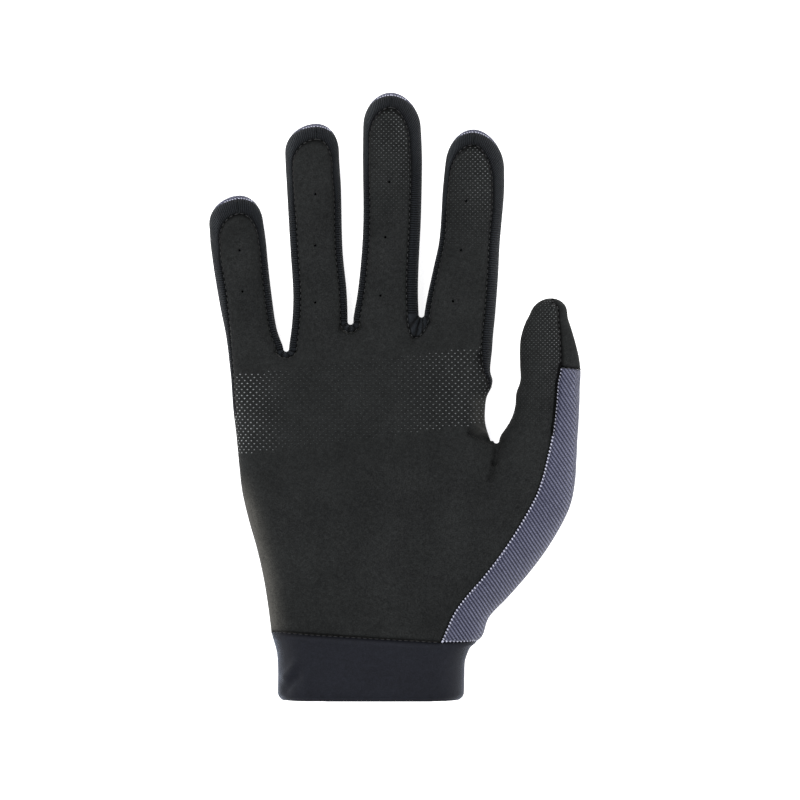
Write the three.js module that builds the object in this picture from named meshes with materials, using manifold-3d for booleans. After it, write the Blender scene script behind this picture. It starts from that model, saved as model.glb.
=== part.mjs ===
// Right-hand full-finger cycling glove, lying on its back with the palm up.
// Millimetres. +X points to the thumb side, +Y to the fingertips, +Z up from the surface it lies on.
// The origin is on the flat underside of the back panel, below the middle of the palm.
//
// The outer skin is an inflated outline: a closed path of stations runs round the hand, each finger
// and each web, and the skin's height over the surface grows with the distance from that path.
// Seams follow the same stations, and each cloth panel is one piece of the skin with its own wall.

import * as THREE from "three";
import { mergeVertices } from "three/addons/utils/BufferGeometryUtils.js";
import Module from "manifold-3d";

// Palm and cuff
const PALM_WIDTH = 104; // across the four finger bases
const PALM_LENGTH = 110.5; // cuff seam to the web beside the little finger
const PALM_THICKNESS = 27;
const KNUCKLE_THICKNESS = 20; // front to back at the finger bases
const CUFF_LENGTH = 24.9; // hem to cuff seam at the middle
const CUFF_SLANT = 3.8; // the cuff seam's little finger end lies this much higher than its thumb end
const CUFF_WIDTH = 73.4; // across the hem
const CUFF_THICKNESS = 24;
const CUFF_SEAM_WIDTH = 81.7; // across the gathered seam, where the palm cloth stands out over the cuff
const CUFF_SEAM_SHIFT = 1.6; // middle of that seam to the thumb side of the cuff's centre line
const HAND_OFFSET = -4.3; // middle of the finger bases from the cuff's centre line

// Thumb base
const THUMB_BASE_OUTER = 81.4; // outer edge of the thumb base from the cuff's centre line
const THUMB_BASE_HEIGHT = 78; // thumb base above the cuff seam
const CROTCH_X = 49.4; // bottom of the gap between thumb and index finger
const CROTCH_DROP = 36.2; // how far that bottom lies below the little finger's web
const THUMB_THICKNESS = 22;

// Webs and walls
const WEB_RADIUS = 1.1;
const SUEDE_WALL = 1.2;
const TWILL_WALL = 1.2;
const RIB_WALL = 1.1;
const CUFF_WALL = 1.8;
const SEAM_GAP = 0.3; // between two sewn panels
const VENT_RADIUS = 0.5;
const SIDE_INSET = 3; // from the outline to the flat sheets where no seam runs
const BACK_INSET = 4;
const WRAP_INSET = 13; // the back cloth reaches this far round the thumb base on to the palm side
const REST_POINT = 88; // from the hem to the origin

// Fingers: base is the share of the palm's width that the finger base takes. Then outer width, length
// from the base to the tip, lean in degrees to the little finger side, tip (length of the rounded
// end), thickness at the tip, curl (how far the tip lifts off the surface), the palm seam's inset from
// the outline on each side and at the tip.
const FINGERS = [
  { name: "little", base: 0.22, width: 21.6, length: 61.4, lean: 6.8, tip: 10.8, thick: 15, curl: 2.5,
    left: 3.2, right: 2.2, end: 7.3 },
  { name: "ring", base: 0.2437, width: 21.7, length: 83.4, lean: 0.5, tip: 11.2, thick: 15.5, curl: 3,
    left: 2.6, right: 2.3, end: 6.3 },
  { name: "middle", base: 0.269, width: 23.2, length: 88.9, lean: -1.35, tip: 13.2, thick: 16, curl: 3,
    left: 2.1, right: 4.2, end: 6.1 },
  { name: "index", base: 0.2673, width: 24.2, length: 80.5, lean: -4.6, tip: 14, thick: 16, curl: 2.5,
    left: 1.5, right: 4, end: 6.3 },
];

// Vent holes in the fingers: along is the share of the finger's length from its base, off the share of
// its width from its centre line.
const VENTS = [
  { finger: "little", along: 0.644, off: -0.071 },
  { finger: "little", along: 0.381, off: -0.106 },
  { finger: "ring", along: 0.663, off: -0.03 },
  { finger: "ring", along: 0.422, off: -0.038 },
  { finger: "ring", along: 0.153, off: -0.047 },
  { finger: "middle", along: 0.6, off: 0 },
  { finger: "middle", along: 0.356, off: -0.043 },
  { finger: "middle", along: 0.098, off: -0.104 },
  { finger: "index", along: 0.644, off: -0.048 },
  { finger: "index", along: 0.403, off: -0.065 },
  { finger: "index", along: 0.151, off: -0.129 },
];

// Webs: up is the height of the web as a share of the palm's length, inset is from the outline to the
// palm seam at the bottom of the web. lean is 1 where that bottom is in the middle, and less where it
// lies towards the little finger.
const WEBS = [
  { up: 1.0, inset: 2, lean: 1 },
  { up: 1.096, inset: 2.6, lean: 1 },
  { up: 1.122, inset: 7.8, lean: 0.8 },
];

const THUMB = { name: "thumb", width: 23.6, length: 56, lean: -5.8, tip: 6.3, thick: 16, curl: 5,
  end: 1.6, left: SIDE_INSET };

// Half widths to the left and right of each finger's centre line, as shares of its width, from its
// base to its tip. seam is the inset of the thumb's outer seam as a share of the wrap's inset.
const SIDES = {
  little: [
    { at: 0.0, left: 0.502, right: 0.5 },
    { at: 0.12, left: 0.509, right: 0.426 },
    { at: 0.3, left: 0.551, right: 0.407 },
    { at: 0.5, left: 0.581, right: 0.407 },
    { at: 0.7, left: 0.593, right: 0.419 },
    { at: 0.82, left: 0.576, right: 0.412 },
    { at: 1.0, left: 0.576, right: 0.412 },
  ],
  ring: [
    { at: -0.05, left: 0.51, right: 0.545 },
    { at: 0.06, left: 0.47, right: 0.545 },
    { at: 0.2, left: 0.452, right: 0.525 },
    { at: 0.4, left: 0.493, right: 0.455 },
    { at: 0.7, left: 0.55, right: 0.435 },
    { at: 0.86, left: 0.575, right: 0.405 },
    { at: 1.0, left: 0.565, right: 0.42 },
  ],
  middle: [
    { at: 0.0, left: 0.55, right: 0.53 },
    { at: 0.12, left: 0.487, right: 0.525 },
    { at: 0.3, left: 0.437, right: 0.54 },
    { at: 0.45, left: 0.427, right: 0.555 },
    { at: 0.7, left: 0.457, right: 0.55 },
    { at: 0.85, left: 0.465, right: 0.515 },
    { at: 1.0, left: 0.46, right: 0.46 },
  ],
  index: [
    { at: 0.0, left: 0.61, right: 0.568 },
    { at: 0.12, left: 0.575, right: 0.578 },
    { at: 0.3, left: 0.49, right: 0.575 },
    { at: 0.45, left: 0.428, right: 0.56 },
    { at: 0.7, left: 0.438, right: 0.563 },
    { at: 0.83, left: 0.43, right: 0.53 },
    { at: 1.0, left: 0.42, right: 0.46 },
  ],
  thumb: [
    { at: 0.0, left: 0.606, right: 0.648, seam: 0.8 },
    { at: 0.12, left: 0.485, right: 0.643, seam: 0.765 },
    { at: 0.22, left: 0.442, right: 0.632, seam: 0.74 },
    { at: 0.31, left: 0.446, right: 0.62, seam: 0.725 },
    { at: 0.4, left: 0.4, right: 0.602, seam: 0.7 },
    { at: 0.5, left: 0.428, right: 0.59, seam: 0.635 },
    { at: 0.6, left: 0.458, right: 0.54, seam: 0.55 },
    { at: 0.7, left: 0.466, right: 0.458, seam: 0.455 },
    { at: 0.8, left: 0.422, right: 0.362, seam: 0.335 },
    { at: 0.89, left: 0.345, right: 0.275, seam: 0.245 },
    { at: 1.0, left: 0.3, right: 0.295, seam: 0.2 },
  ],
};

// Little finger side of the palm, from the cuff seam to the finger base. out runs from the cuff's edge
// to the finger's. seam is the inset of the palm sheet's edge as a share of the side inset.
const ULNAR_SIDE = [
  { at: 0.0, out: 0.0, seam: 1 },
  { at: 0.1, out: 0.08, seam: 1 },
  { at: 0.2, out: 0.187, seam: 1 },
  { at: 0.3, out: 0.335, seam: 1 },
  { at: 0.4, out: 0.52, seam: 1 },
  { at: 0.5, out: 0.67, seam: 0.95 },
  { at: 0.6, out: 0.745, seam: 0.8 },
  { at: 0.7, out: 0.808, seam: 0.5 },
  { at: 0.8, out: 0.885, seam: 0.25 },
  { at: 0.9, out: 0.93, seam: 0.25 },
  { at: 1.0, out: 1.0, seam: 0.4 },
];

// Thumb side of the palm, from the cuff seam to the thumb base, in the same way. seam is a share of
// the wrap's inset.
const THENAR_SIDE = [
  { at: 0.0, out: 0.0, seam: 1.15 },
  { at: 0.11, out: 0.083, seam: 1.05 },
  { at: 0.22, out: 0.295, seam: 1.0 },
  { at: 0.33, out: 0.493, seam: 1.05 },
  { at: 0.44, out: 0.665, seam: 1.1 },
  { at: 0.56, out: 0.818, seam: 1.12 },
  { at: 0.67, out: 0.925, seam: 1.1 },
  { at: 0.78, out: 0.973, seam: 1.03 },
  { at: 0.89, out: 0.99, seam: 0.92 },
  { at: 1.0, out: 1.0, seam: 0.8 },
];

// Side of the palm between the index finger and the crotch. out is the bulge as a share of its length,
// seam the sheet edge's inset as a share of the side inset.
const RADIAL_SIDE = [
  { at: 0.0, out: 0.0, seam: 1.33 },
  { at: 0.2, out: -0.024, seam: 0.75 },
  { at: 0.4, out: -0.0175, seam: 0.25 },
  { at: 0.5, out: -0.065, seam: 0.45 },
  { at: 0.6, out: -0.085, seam: 0.8 },
  { at: 0.8, out: -0.09, seam: 1 },
  { at: 1.0, out: -0.035, seam: 1 },
];

// Half widths of the cuff as shares of the hem's, from the cuff seam down to the hem.
const CUFF_SIDES = [
  { at: 0.0, left: 1.06, right: 1.1 },
  { at: 0.3, left: 1.01, right: 1.015 },
  { at: 0.6, left: 0.998, right: 1.003 },
  { at: 0.9, left: 1.0, right: 0.998 },
  { at: 1.0, left: 0.985, right: 0.98 },
];

// Widths of the rounded edge
const PALM_EDGE = 15;
const KNUCKLE_EDGE = 10;
const CUFF_EDGE = 13;
const FINGER_EDGE_SHARE = 0.48; // of the finger's width

// Thickness and rounded edge of the palm as shares of the full ones, from the cuff seam to the finger
// bases.
const PALM_SECTIONS = [
  { at: 0.0, thick: 0.9, edge: 0.87 },
  { at: 0.12, thick: 0.97, edge: 0.95 },
  { at: 0.35, thick: 1, edge: 1 },
  { at: 0.65, thick: 0.96, edge: 0.95 },
  { at: 0.85, thick: 0.86, edge: 0.82 },
  { at: 1.0, thick: 0.76, edge: 0.7 },
];

// Mounds and hollows of the palm: place as shares of the palm's width and length from the cuff seam's
// middle, radii as the same shares, rise as a share of the palm's thickness.
const MOUNDS = [
  { name: "thumb_mound", x: 0.4, y: 0.37, rx: 0.2, ry: 0.3, rise: 0.15 },
  { name: "heel_mound", x: -0.27, y: 0.38, rx: 0.16, ry: 0.34, rise: 0.09 },
  { name: "palm_hollow", x: 0.02, y: 0.55, rx: 0.16, ry: 0.26, rise: -0.09 },
  { name: "knuckle_pad", x: -0.02, y: 0.93, rx: 0.4, ry: 0.12, rise: 0.04 },
];

// Folds run from the crotch into the palm: their far end, half width and depth, as shares of the
// palm's width and, for the depth, of its thickness.
const FOLDS = [
  { name: "crotch_crease", dx: -0.06, dy: -0.2, wide: 0.04, depth: 0.13 },
  { name: "crotch_tuck", dx: -0.2, dy: 0.075, wide: 0.028, depth: 0.09 },
];

// How the skin is divided
const FINGER_ROWS = 7;
const FINGER_COLUMNS = 4;
const TIP_SEGMENTS = 8;
const WEB_SEGMENTS = 4;
const PALM_ROWS = 9;
const RADIAL_ROWS = 5;
const WEB_WEIGHT = 4; // room for a web's columns at the cuff, in millimetres of a finger base
const RADIAL_WEIGHT = 14; // the same for the columns of the gap between thumb and index
const ROW_BIAS = 0.6; // how much farther the palm's rows keep from the gap between thumb and index
const CUFF_ROWS = 3;
const FRONT_CELLS = 3; // across a side strip, from the palm seam to the back seam
const BACK_STEPS = [0, 0.25, 1]; // from the back seam to the back's flat sheet
const STRIP_START_ROW = 7; // the little finger's outer strip starts at this row of the palm
const STRIP_END_ROW = 2; // the index finger's outer strip ends at this row of the radial side
const PATCH_ROW = 4; // the thumb's back patch starts at this row
const MID_SHARE = 0.46; // height of the outline as a share of the thickness
const TOP_POWER = 2.2; // 2 is an ellipse, more is fuller
const FLAT_EDGE_SHARE = 0.7; // the underside's rounded edge, as a share of the top's
const BACK_SEAM = -0.55; // place of the back seam round the side: 1 palm seam, 0 outline, -1 back sheet
const PALM_BACK_SEAM = -0.3;
const TIP_BACK_SEAM = 0.33;
const SHOULDER_BACK_SEAM = -0.2; // where the fingertip begins
const SHOULDER_FROM = 0.7; // share of a finger's side over which its back seam rises to the tip
const THICK_TO = 0.9; // share of a finger's side at which it reaches its thickness at the tip
const DROP_FROM = 0.5; // share of a finger's side from which its seam draws away from the tip
const CUFF_FRONT_INSET = 9; // from the outline to the cuff's flat front at the thumb end of the hem
const VENT_SIDES = 6;
const FADE = 0.25; // share of a finger over which its sides run into the webs
const CUFF_STEP = 0.33; // share of the cuff over which it steps in from the gathered seam
const LEVEL_SHARE = 0.35; // share of the palm over which its side stations turn level with the cuff

const lerp = (a, b, t) => a + (b - a) * t;
const clamp = (t) => Math.min(Math.max(t, 0), 1);
const smooth = (t) => clamp(t) ** 2 * (3 - 2 * clamp(t));
const plan = (x, y) => new THREE.Vector2(x, y);

// A column of a table at a share, on a smooth curve through the rows.
function read(table, column, at) {
  const last = table.length - 1;
  let i = table.findIndex((row) => row.at >= at);
  i = i < 0 ? last : Math.max(i, 1);
  const slope = (k) => {
    const a = table[Math.max(k - 1, 0)];
    const b = table[Math.min(k + 1, last)];
    return (b[column] - a[column]) / (b.at - a.at);
  };
  const [low, high] = [table[i - 1], table[i]];
  const span = high.at - low.at;
  const t = clamp((at - low.at) / span);
  const rise = high[column] - low[column];
  const bend = slope(i - 1) * span * t * (1 - t) ** 2 - slope(i) * span * t * t * (1 - t);
  return low[column] + rise * smooth(t) + bend;
}

// Corners of the outline
const SEAM_MIDDLE = CUFF_LENGTH;
const ULNAR_CUFF = plan(CUFF_SEAM_SHIFT - CUFF_SEAM_WIDTH / 2, SEAM_MIDDLE + CUFF_SLANT / 2);
const RADIAL_CUFF = plan(CUFF_SEAM_SHIFT + CUFF_SEAM_WIDTH / 2, SEAM_MIDDLE - CUFF_SLANT / 2);
const handLeft = HAND_OFFSET - PALM_WIDTH / 2;
const webHeight = (up) => SEAM_MIDDLE + CUFF_SLANT / 2 + PALM_LENGTH * up;
const LITTLE_CORNER = plan(handLeft, webHeight(1));
const INDEX_CORNER = plan(handLeft + PALM_WIDTH, webHeight(1));
const CROTCH = plan(CROTCH_X, webHeight(1) - CROTCH_DROP);
const THUMB_CORNER = plan(THUMB_BASE_OUTER, SEAM_MIDDLE + THUMB_BASE_HEIGHT);

// Each web is a half circle open to the fingertips, given by its centre.
const webCentres = WEBS.map((web, i) => {
  const share = FINGERS.slice(0, i + 1).reduce((sum, finger) => sum + finger.base, 0);
  return plan(handLeft + PALM_WIDTH * share, webHeight(web.up) + WEB_RADIUS);
});
webCentres.push(CROTCH.clone().add(plan(0, WEB_RADIUS)));

// A finger's own frame: u runs from its base to its tip, v across it to the thumb side.
function fingerFrame(finger, left, right) {
  const angle = THREE.MathUtils.degToRad(finger.lean);
  const along = plan(-Math.sin(angle), Math.cos(angle));
  const across = plan(along.y, -along.x);
  const base = left.clone().add(right).multiplyScalar(0.5);
  const roundFrom = 1 - finger.tip / finger.length;
  const at = (u, v) => base.clone().addScaledVector(along, u).addScaledVector(across, v);
  const half = (sign, share) => finger.width * read(SIDES[finger.name], sign < 0 ? "left" : "right", share);
  const corner = { [-1]: left, 1: right };
  const start = (sign) => corner[sign].clone().sub(base).dot(along) / finger.length;
  // A point beside the finger, that far in from its outline and that far short of its tip.
  const side = (sign, t, inset, short) => {
    const share = lerp(start(sign), roundFrom, t);
    const raw = (s) => at(s * finger.length, sign * half(sign, s));
    const miss = corner[sign].clone().sub(raw(start(sign)));
    const fade = clamp(1 - (share - start(sign)) / FADE) ** 2;
    const drop = short * smooth((share - DROP_FROM) / (roundFrom - DROP_FROM));
    const point = at(share * finger.length - drop, sign * (half(sign, share) - inset));
    return point.addScaledVector(miss, fade);
  };
  // A point on the rounded tip: turn is 0 on the left side and 1 on the right.
  const end = (turn, leftInset, rightInset, short) => {
    const angleRound = Math.PI * (1 - turn);
    const sign = turn < 0.5 ? -1 : 1;
    const inset = sign < 0 ? leftInset : rightInset;
    const share = lerp(roundFrom, 1, Math.sin(angleRound));
    const wide = half(sign, share) - inset;
    return at(share * finger.length - short, wide * Math.cos(angleRound));
  };
  return { side, end, at };
}

// Stations of the outline. Each one holds its outline point, the edges of the front and back sheets,
// the skin's thickness, rounded edge and lift there, the place of the back seam, and the panel that
// covers the side strip from this station to the next.
const stations = [];
const share = (i, count) => i / count;

// A point beside the outline: level is 1 where it lies straight across the glove from the outline.
const inward = (from, to, inset, middle, level) => {
  const direction = to.clone().sub(from).normalize();
  const across = plan(direction.y, -direction.x);
  across.lerp(plan(Math.sign(across.x), 0), level).normalize();
  return middle.clone().addScaledVector(across, inset);
};

// Stations along one side of the palm, given as a function of the share from its start to its end.
function sideStations(count, first, last, pointAt, valuesAt) {
  const step = 0.01; // to either side of the station, for the outline's direction
  for (let i = first; i <= last; i++) {
    const t = share(i, count);
    const outline = pointAt(t);
    const [before, after] = [pointAt(Math.max(t - step, 0)), pointAt(Math.min(t + step, 1))];
    const values = valuesAt(t, i);
    stations.push({
      outline,
      front: inward(before, after, values.inset, outline, values.level),
      back: inward(before, after, BACK_INSET, outline, values.level),
      ...values,
    });
  }
}

const palmValues = (t) => ({
  thick: PALM_THICKNESS * read(PALM_SECTIONS, "thick", t),
  edge: PALM_EDGE * read(PALM_SECTIONS, "edge", t),
  lift: 0,
  level: 1 - smooth(t / LEVEL_SHARE),
  seam: PALM_BACK_SEAM,
});

function cuffPoint(sign, t) {
  const corner = sign < 0 ? ULNAR_CUFF : RADIAL_CUFF;
  const column = sign < 0 ? "left" : "right";
  const scale = (CUFF_WIDTH / 2) * read(CUFF_SIDES, column, t);
  const first = (CUFF_WIDTH / 2) * CUFF_SIDES[0][column];
  const pull = (Math.abs(corner.x) - first) * (1 - smooth(t / CUFF_STEP));
  return plan(sign * (scale + pull), corner.y * (1 - t));
}

function cuffStation(sign, i, inset, node) {
  const t = share(i, CUFF_ROWS);
  const outline = cuffPoint(sign, t);
  const shift = (by) => outline.clone().add(plan(-sign * by, 0));
  stations.push({
    outline,
    front: shift(inset),
    back: shift(BACK_INSET),
    thick: lerp(PALM_THICKNESS * PALM_SECTIONS[0].thick, CUFF_THICKNESS, smooth(t)),
    edge: lerp(PALM_EDGE * PALM_SECTIONS[0].edge, CUFF_EDGE, smooth(t)),
    lift: 0,
    seam: PALM_BACK_SEAM,
    node,
  });
}

// Up the little finger side
for (let i = CUFF_ROWS; i > 0; i--) cuffStation(-1, i, SIDE_INSET, "cuff");
sideStations(
  PALM_ROWS,
  0,
  PALM_ROWS - 1,
  (t) => plan(
    lerp(ULNAR_CUFF.x, LITTLE_CORNER.x, read(ULNAR_SIDE, "out", t)),
    lerp(ULNAR_CUFF.y, LITTLE_CORNER.y, t),
  ),
  (t, i) => ({
    ...palmValues(t),
    inset: SIDE_INSET * read(ULNAR_SIDE, "seam", t),
    node: i < STRIP_START_ROW ? "palm_panel" : "little_outer_strip",
  }),
);

// One finger: up its left side, round its tip and down its right side.
function fingerStations(finger, frame, leftNode, rightNode, cornerInset, isThumb) {
  const first = stations.length;
  const baseThick = isThumb ? THUMB_THICKNESS : KNUCKLE_THICKNESS;
  const fullEdge = finger.width * FINGER_EDGE_SHARE;
  const values = (along) => ({
    thick: lerp(baseThick, finger.thick, smooth(along / THICK_TO)),
    edge: Math.min(fullEdge, lerp(KNUCKLE_EDGE, fullEdge, along)),
    lift: finger.curl * along ** 2,
  });
  const seamInset = (sign, t) => {
    const roundFrom = 1 - finger.tip / finger.length;
    if (isThumb && sign > 0) return WRAP_INSET * read(SIDES.thumb, "seam", t * roundFrom);
    const corner = sign < 0 ? cornerInset.left : cornerInset.right;
    return lerp(corner, sign < 0 ? finger.left : finger.right, smooth(t * 2));
  };
  const sideStation = (sign, i) => {
    const t = share(i, FINGER_ROWS);
    const nearTip = smooth((t - SHOULDER_FROM) / (1 - SHOULDER_FROM));
    const node = sign < 0 ? leftNode : rightNode;
    stations.push({
      outline: frame.side(sign, t, 0, 0),
      front: frame.side(sign, t, seamInset(sign, t), finger.end),
      back: frame.side(sign, t, BACK_INSET, BACK_INSET),
      ...values(t),
      seam: isThumb ? PALM_BACK_SEAM : lerp(BACK_SEAM, SHOULDER_BACK_SEAM, nearTip),
      node: isThumb && sign > 0 && i <= PATCH_ROW ? "back_panel" : node,
      patch: isThumb && (sign < 0 ? i >= PATCH_ROW : i > PATCH_ROW),
    });
  };
  for (let i = 0; i <= FINGER_ROWS; i++) sideStation(-1, i);
  for (let i = 1; i < TIP_SEGMENTS; i++) {
    const turn = share(i, TIP_SEGMENTS);
    const insets = [seamInset(-1, 1), seamInset(1, 1)];
    const tipSeam = lerp(SHOULDER_BACK_SEAM, TIP_BACK_SEAM, Math.sin(Math.PI * turn));
    stations.push({
      outline: frame.end(turn, 0, 0, 0),
      front: frame.end(turn, ...insets, finger.end),
      back: frame.end(turn, BACK_INSET, BACK_INSET, BACK_INSET),
      ...values(1),
      seam: isThumb ? PALM_BACK_SEAM : tipSeam,
      node: i < TIP_SEGMENTS / 2 ? leftNode : rightNode,
      patch: isThumb,
    });
  }
  for (let i = FINGER_ROWS; i >= 0; i--) sideStation(1, i);
  return { first, last: stations.length - 1 };
}

// The half circle of a web, without its two ends.
function webStations(centre, node, insets, values) {
  const { left, right, bottom, lean } = insets;
  const first = stations.length;
  for (let i = 1; i < WEB_SEGMENTS; i++) {
    const turn = share(i, WEB_SEGMENTS);
    const round = plan(-Math.cos(Math.PI * turn), -Math.sin(Math.PI * turn));
    const seam = plan(
      lerp(-WEB_RADIUS - left, WEB_RADIUS + right, (1 - Math.cos(Math.PI * turn)) / 2),
      -(WEB_RADIUS + bottom) * Math.sin(Math.PI * turn ** lean),
    );
    stations.push({
      outline: centre.clone().addScaledVector(round, WEB_RADIUS),
      front: centre.clone().add(seam),
      back: centre.clone().addScaledVector(round, WEB_RADIUS + BACK_INSET),
      ...values,
      node,
    });
  }
  return { first, last: stations.length - 1 };
}

const SIDE_NODES = [
  "little_outer_strip",
  "little_ring_fourchette",
  "ring_middle_fourchette",
  "middle_index_fourchette",
  "index_outer_strip",
];
const fingerSpans = [];
const fingerFrames = [];
const webSpans = [];
const webValues = { thick: KNUCKLE_THICKNESS, edge: KNUCKLE_EDGE, lift: 0, seam: BACK_SEAM };
const webEnd = (i, sign) => webCentres[i].clone().add(plan(sign * WEB_RADIUS, 0));
FINGERS.forEach((finger, i) => {
  const left = i ? webEnd(i - 1, 1) : LITTLE_CORNER;
  const right = i < FINGERS.length - 1 ? webEnd(i, -1) : INDEX_CORNER;
  const cornerInset = {
    left: i ? finger.left : SIDE_INSET * read(ULNAR_SIDE, "seam", 1),
    right: i < FINGERS.length - 1 ? finger.right : SIDE_INSET * read(RADIAL_SIDE, "seam", 0),
  };
  const frame = fingerFrame(finger, left, right);
  fingerFrames.push(frame);
  fingerSpans.push(fingerStations(finger, frame, SIDE_NODES[i], SIDE_NODES[i + 1], cornerInset, false));
  if (i < WEBS.length)
    webSpans.push(webStations(webCentres[i], SIDE_NODES[i + 1], {
      left: finger.right, right: FINGERS[i + 1].left, bottom: WEBS[i].inset, lean: WEBS[i].lean,
    }, webValues));
});

// Down the index finger side to the crotch, round it and up the thumb
const radialFirst = stations.length;
const radialEnd = webEnd(WEBS.length, -1);
sideStations(
  RADIAL_ROWS,
  1,
  RADIAL_ROWS,
  (t) => plan(
    lerp(INDEX_CORNER.x, radialEnd.x, t) + (INDEX_CORNER.y - radialEnd.y) * read(RADIAL_SIDE, "out", t),
    lerp(INDEX_CORNER.y, radialEnd.y, t),
  ),
  (t, i) => ({
    thick: lerp(KNUCKLE_THICKNESS, THUMB_THICKNESS, smooth(t)),
    edge: KNUCKLE_EDGE,
    lift: 0,
    level: 0,
    seam: lerp(BACK_SEAM, PALM_BACK_SEAM, smooth(t)),
    inset: SIDE_INSET * read(RADIAL_SIDE, "seam", t),
    node: i < STRIP_END_ROW ? "index_outer_strip" : "palm_panel",
  }),
);
const crotchInsets = { left: SIDE_INSET, right: SIDE_INSET, bottom: SIDE_INSET, lean: 1 };
const crotchSpan = webStations(webCentres[WEBS.length], "palm_panel", crotchInsets, {
  ...webValues, thick: THUMB_THICKNESS, seam: PALM_BACK_SEAM,
});
const thumbFrame = fingerFrame(THUMB, webEnd(WEBS.length, 1), THUMB_CORNER);
const thumbInset = { left: SIDE_INSET, right: WRAP_INSET };
const thumbSpan = fingerStations(THUMB, thumbFrame, "palm_panel", "thumb_back_patch", thumbInset, true);

// Down the thumb side to the hem
sideStations(
  PALM_ROWS,
  1,
  PALM_ROWS,
  (t) => plan(
    lerp(RADIAL_CUFF.x, THUMB_CORNER.x, read(THENAR_SIDE, "out", 1 - t)),
    lerp(RADIAL_CUFF.y, THUMB_CORNER.y, 1 - t),
  ),
  (t) => ({
    ...palmValues(1 - t),
    thick: lerp(THUMB_THICKNESS, palmValues(1 - t).thick, smooth(t * 2)),
    inset: WRAP_INSET * read(THENAR_SIDE, "seam", 1 - t),
    node: "back_panel",
  }),
);
stations[stations.length - 1].node = "cuff";
const cuffInset = (i) => lerp(WRAP_INSET * THENAR_SIDE[0].seam, CUFF_FRONT_INSET, share(i, CUFF_ROWS));
for (let i = 1; i <= CUFF_ROWS; i++) cuffStation(1, i, cuffInset(i), "cuff");

// Distance from the outline
const outline = stations.map((s) => s.outline);
function outlineDistance(point) {
  let best = Infinity;
  for (let i = 1; i < outline.length; i++) {
    const leg = outline[i].clone().sub(outline[i - 1]);
    const reach = point.clone().sub(outline[i - 1]);
    const t = clamp(reach.dot(leg) / leg.lengthSq());
    best = Math.min(best, reach.addScaledVector(leg, -t).length());
  }
  return best;
}

function moundRise(point) {
  const place = plan(point.x / PALM_WIDTH, (point.y - SEAM_MIDDLE) / PALM_LENGTH);
  return MOUNDS.reduce((sum, m) => {
    const off = ((place.x - m.x) / m.rx) ** 2 + ((place.y - m.y) / m.ry) ** 2;
    return sum + m.rise * PALM_THICKNESS * Math.exp(-off);
  }, 0);
}

function foldDrop(point) {
  return FOLDS.reduce((sum, fold) => {
    const run = plan(fold.dx, fold.dy).multiplyScalar(PALM_WIDTH);
    const reach = point.clone().sub(CROTCH);
    const t = clamp(reach.dot(run) / run.lengthSq());
    const off = reach.addScaledVector(run, -t).length() / (fold.wide * PALM_WIDTH);
    return sum + fold.depth * PALM_THICKNESS * (1 - t) * Math.exp(-off * off);
  }, 0);
}

// Height of the skin over the surface: side is 1 on top and -1 underneath.
function skinHeight(point, side, values) {
  const distance = outlineDistance(point);
  const rim = side > 0 ? values.edge : values.edge * FLAT_EDGE_SHARE;
  const power = side > 0 ? TOP_POWER : 2;
  const rise = (1 - (1 - clamp(distance / rim)) ** power) ** (1 / power);
  const middle = values.thick * MID_SHARE;
  if (side < 0) return values.lift + middle - middle * rise;
  const top = values.thick + (moundRise(point) - foldDrop(point)) * clamp(distance / rim);
  return values.lift + middle + (top - middle) * rise;
}

// The skin: shared vertices, and four-sided faces under the name of their panel.
const skin = { points: [], hem: new Set(), faces: new Map() };
function vertex(point, side, values) {
  skin.points.push(new THREE.Vector3(point.x, point.y, skinHeight(point, side, values)));
  return skin.points.length - 1;
}
function face(node, ...corners) {
  if (!skin.faces.has(node)) skin.faces.set(node, []);
  skin.faces.get(node).push(corners);
}

// The side strip: each station's ring of vertices from the front sheet to the back sheet.
const RINGS = FRONT_CELLS + BACK_STEPS.length - 1;
const rings = stations.map((s) => {
  const ring = [];
  for (let j = 0; j <= RINGS; j++) {
    const place = j <= FRONT_CELLS
      ? lerp(1, s.seam, share(j, FRONT_CELLS))
      : lerp(s.seam, -1, BACK_STEPS[j - FRONT_CELLS]);
    const reach = 1 - Math.cos((Math.abs(place) * Math.PI) / 2);
    const point = s.outline.clone().lerp(place > 0 ? s.front : s.back, reach);
    ring.push(vertex(point, place > 0 ? 1 : -1, s));
  }
  return ring;
});
for (let k = 1; k < stations.length; k++) {
  const { node, patch } = stations[k - 1];
  for (let j = 0; j < RINGS; j++) {
    const backNode = patch ? "thumb_back_patch" : "back_panel";
    const panel = j < FRONT_CELLS || node === "cuff" ? node : backNode;
    face(panel, rings[k - 1][j], rings[k][j], rings[k][j + 1], rings[k - 1][j + 1]);
  }
}

const mix = (a, b, t) => ({
  point: a.point.clone().lerp(b.point, t),
  thick: lerp(a.thick, b.thick, t),
  edge: lerp(a.edge, b.edge, t),
  lift: lerp(a.lift, b.lift, t),
});

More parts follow.
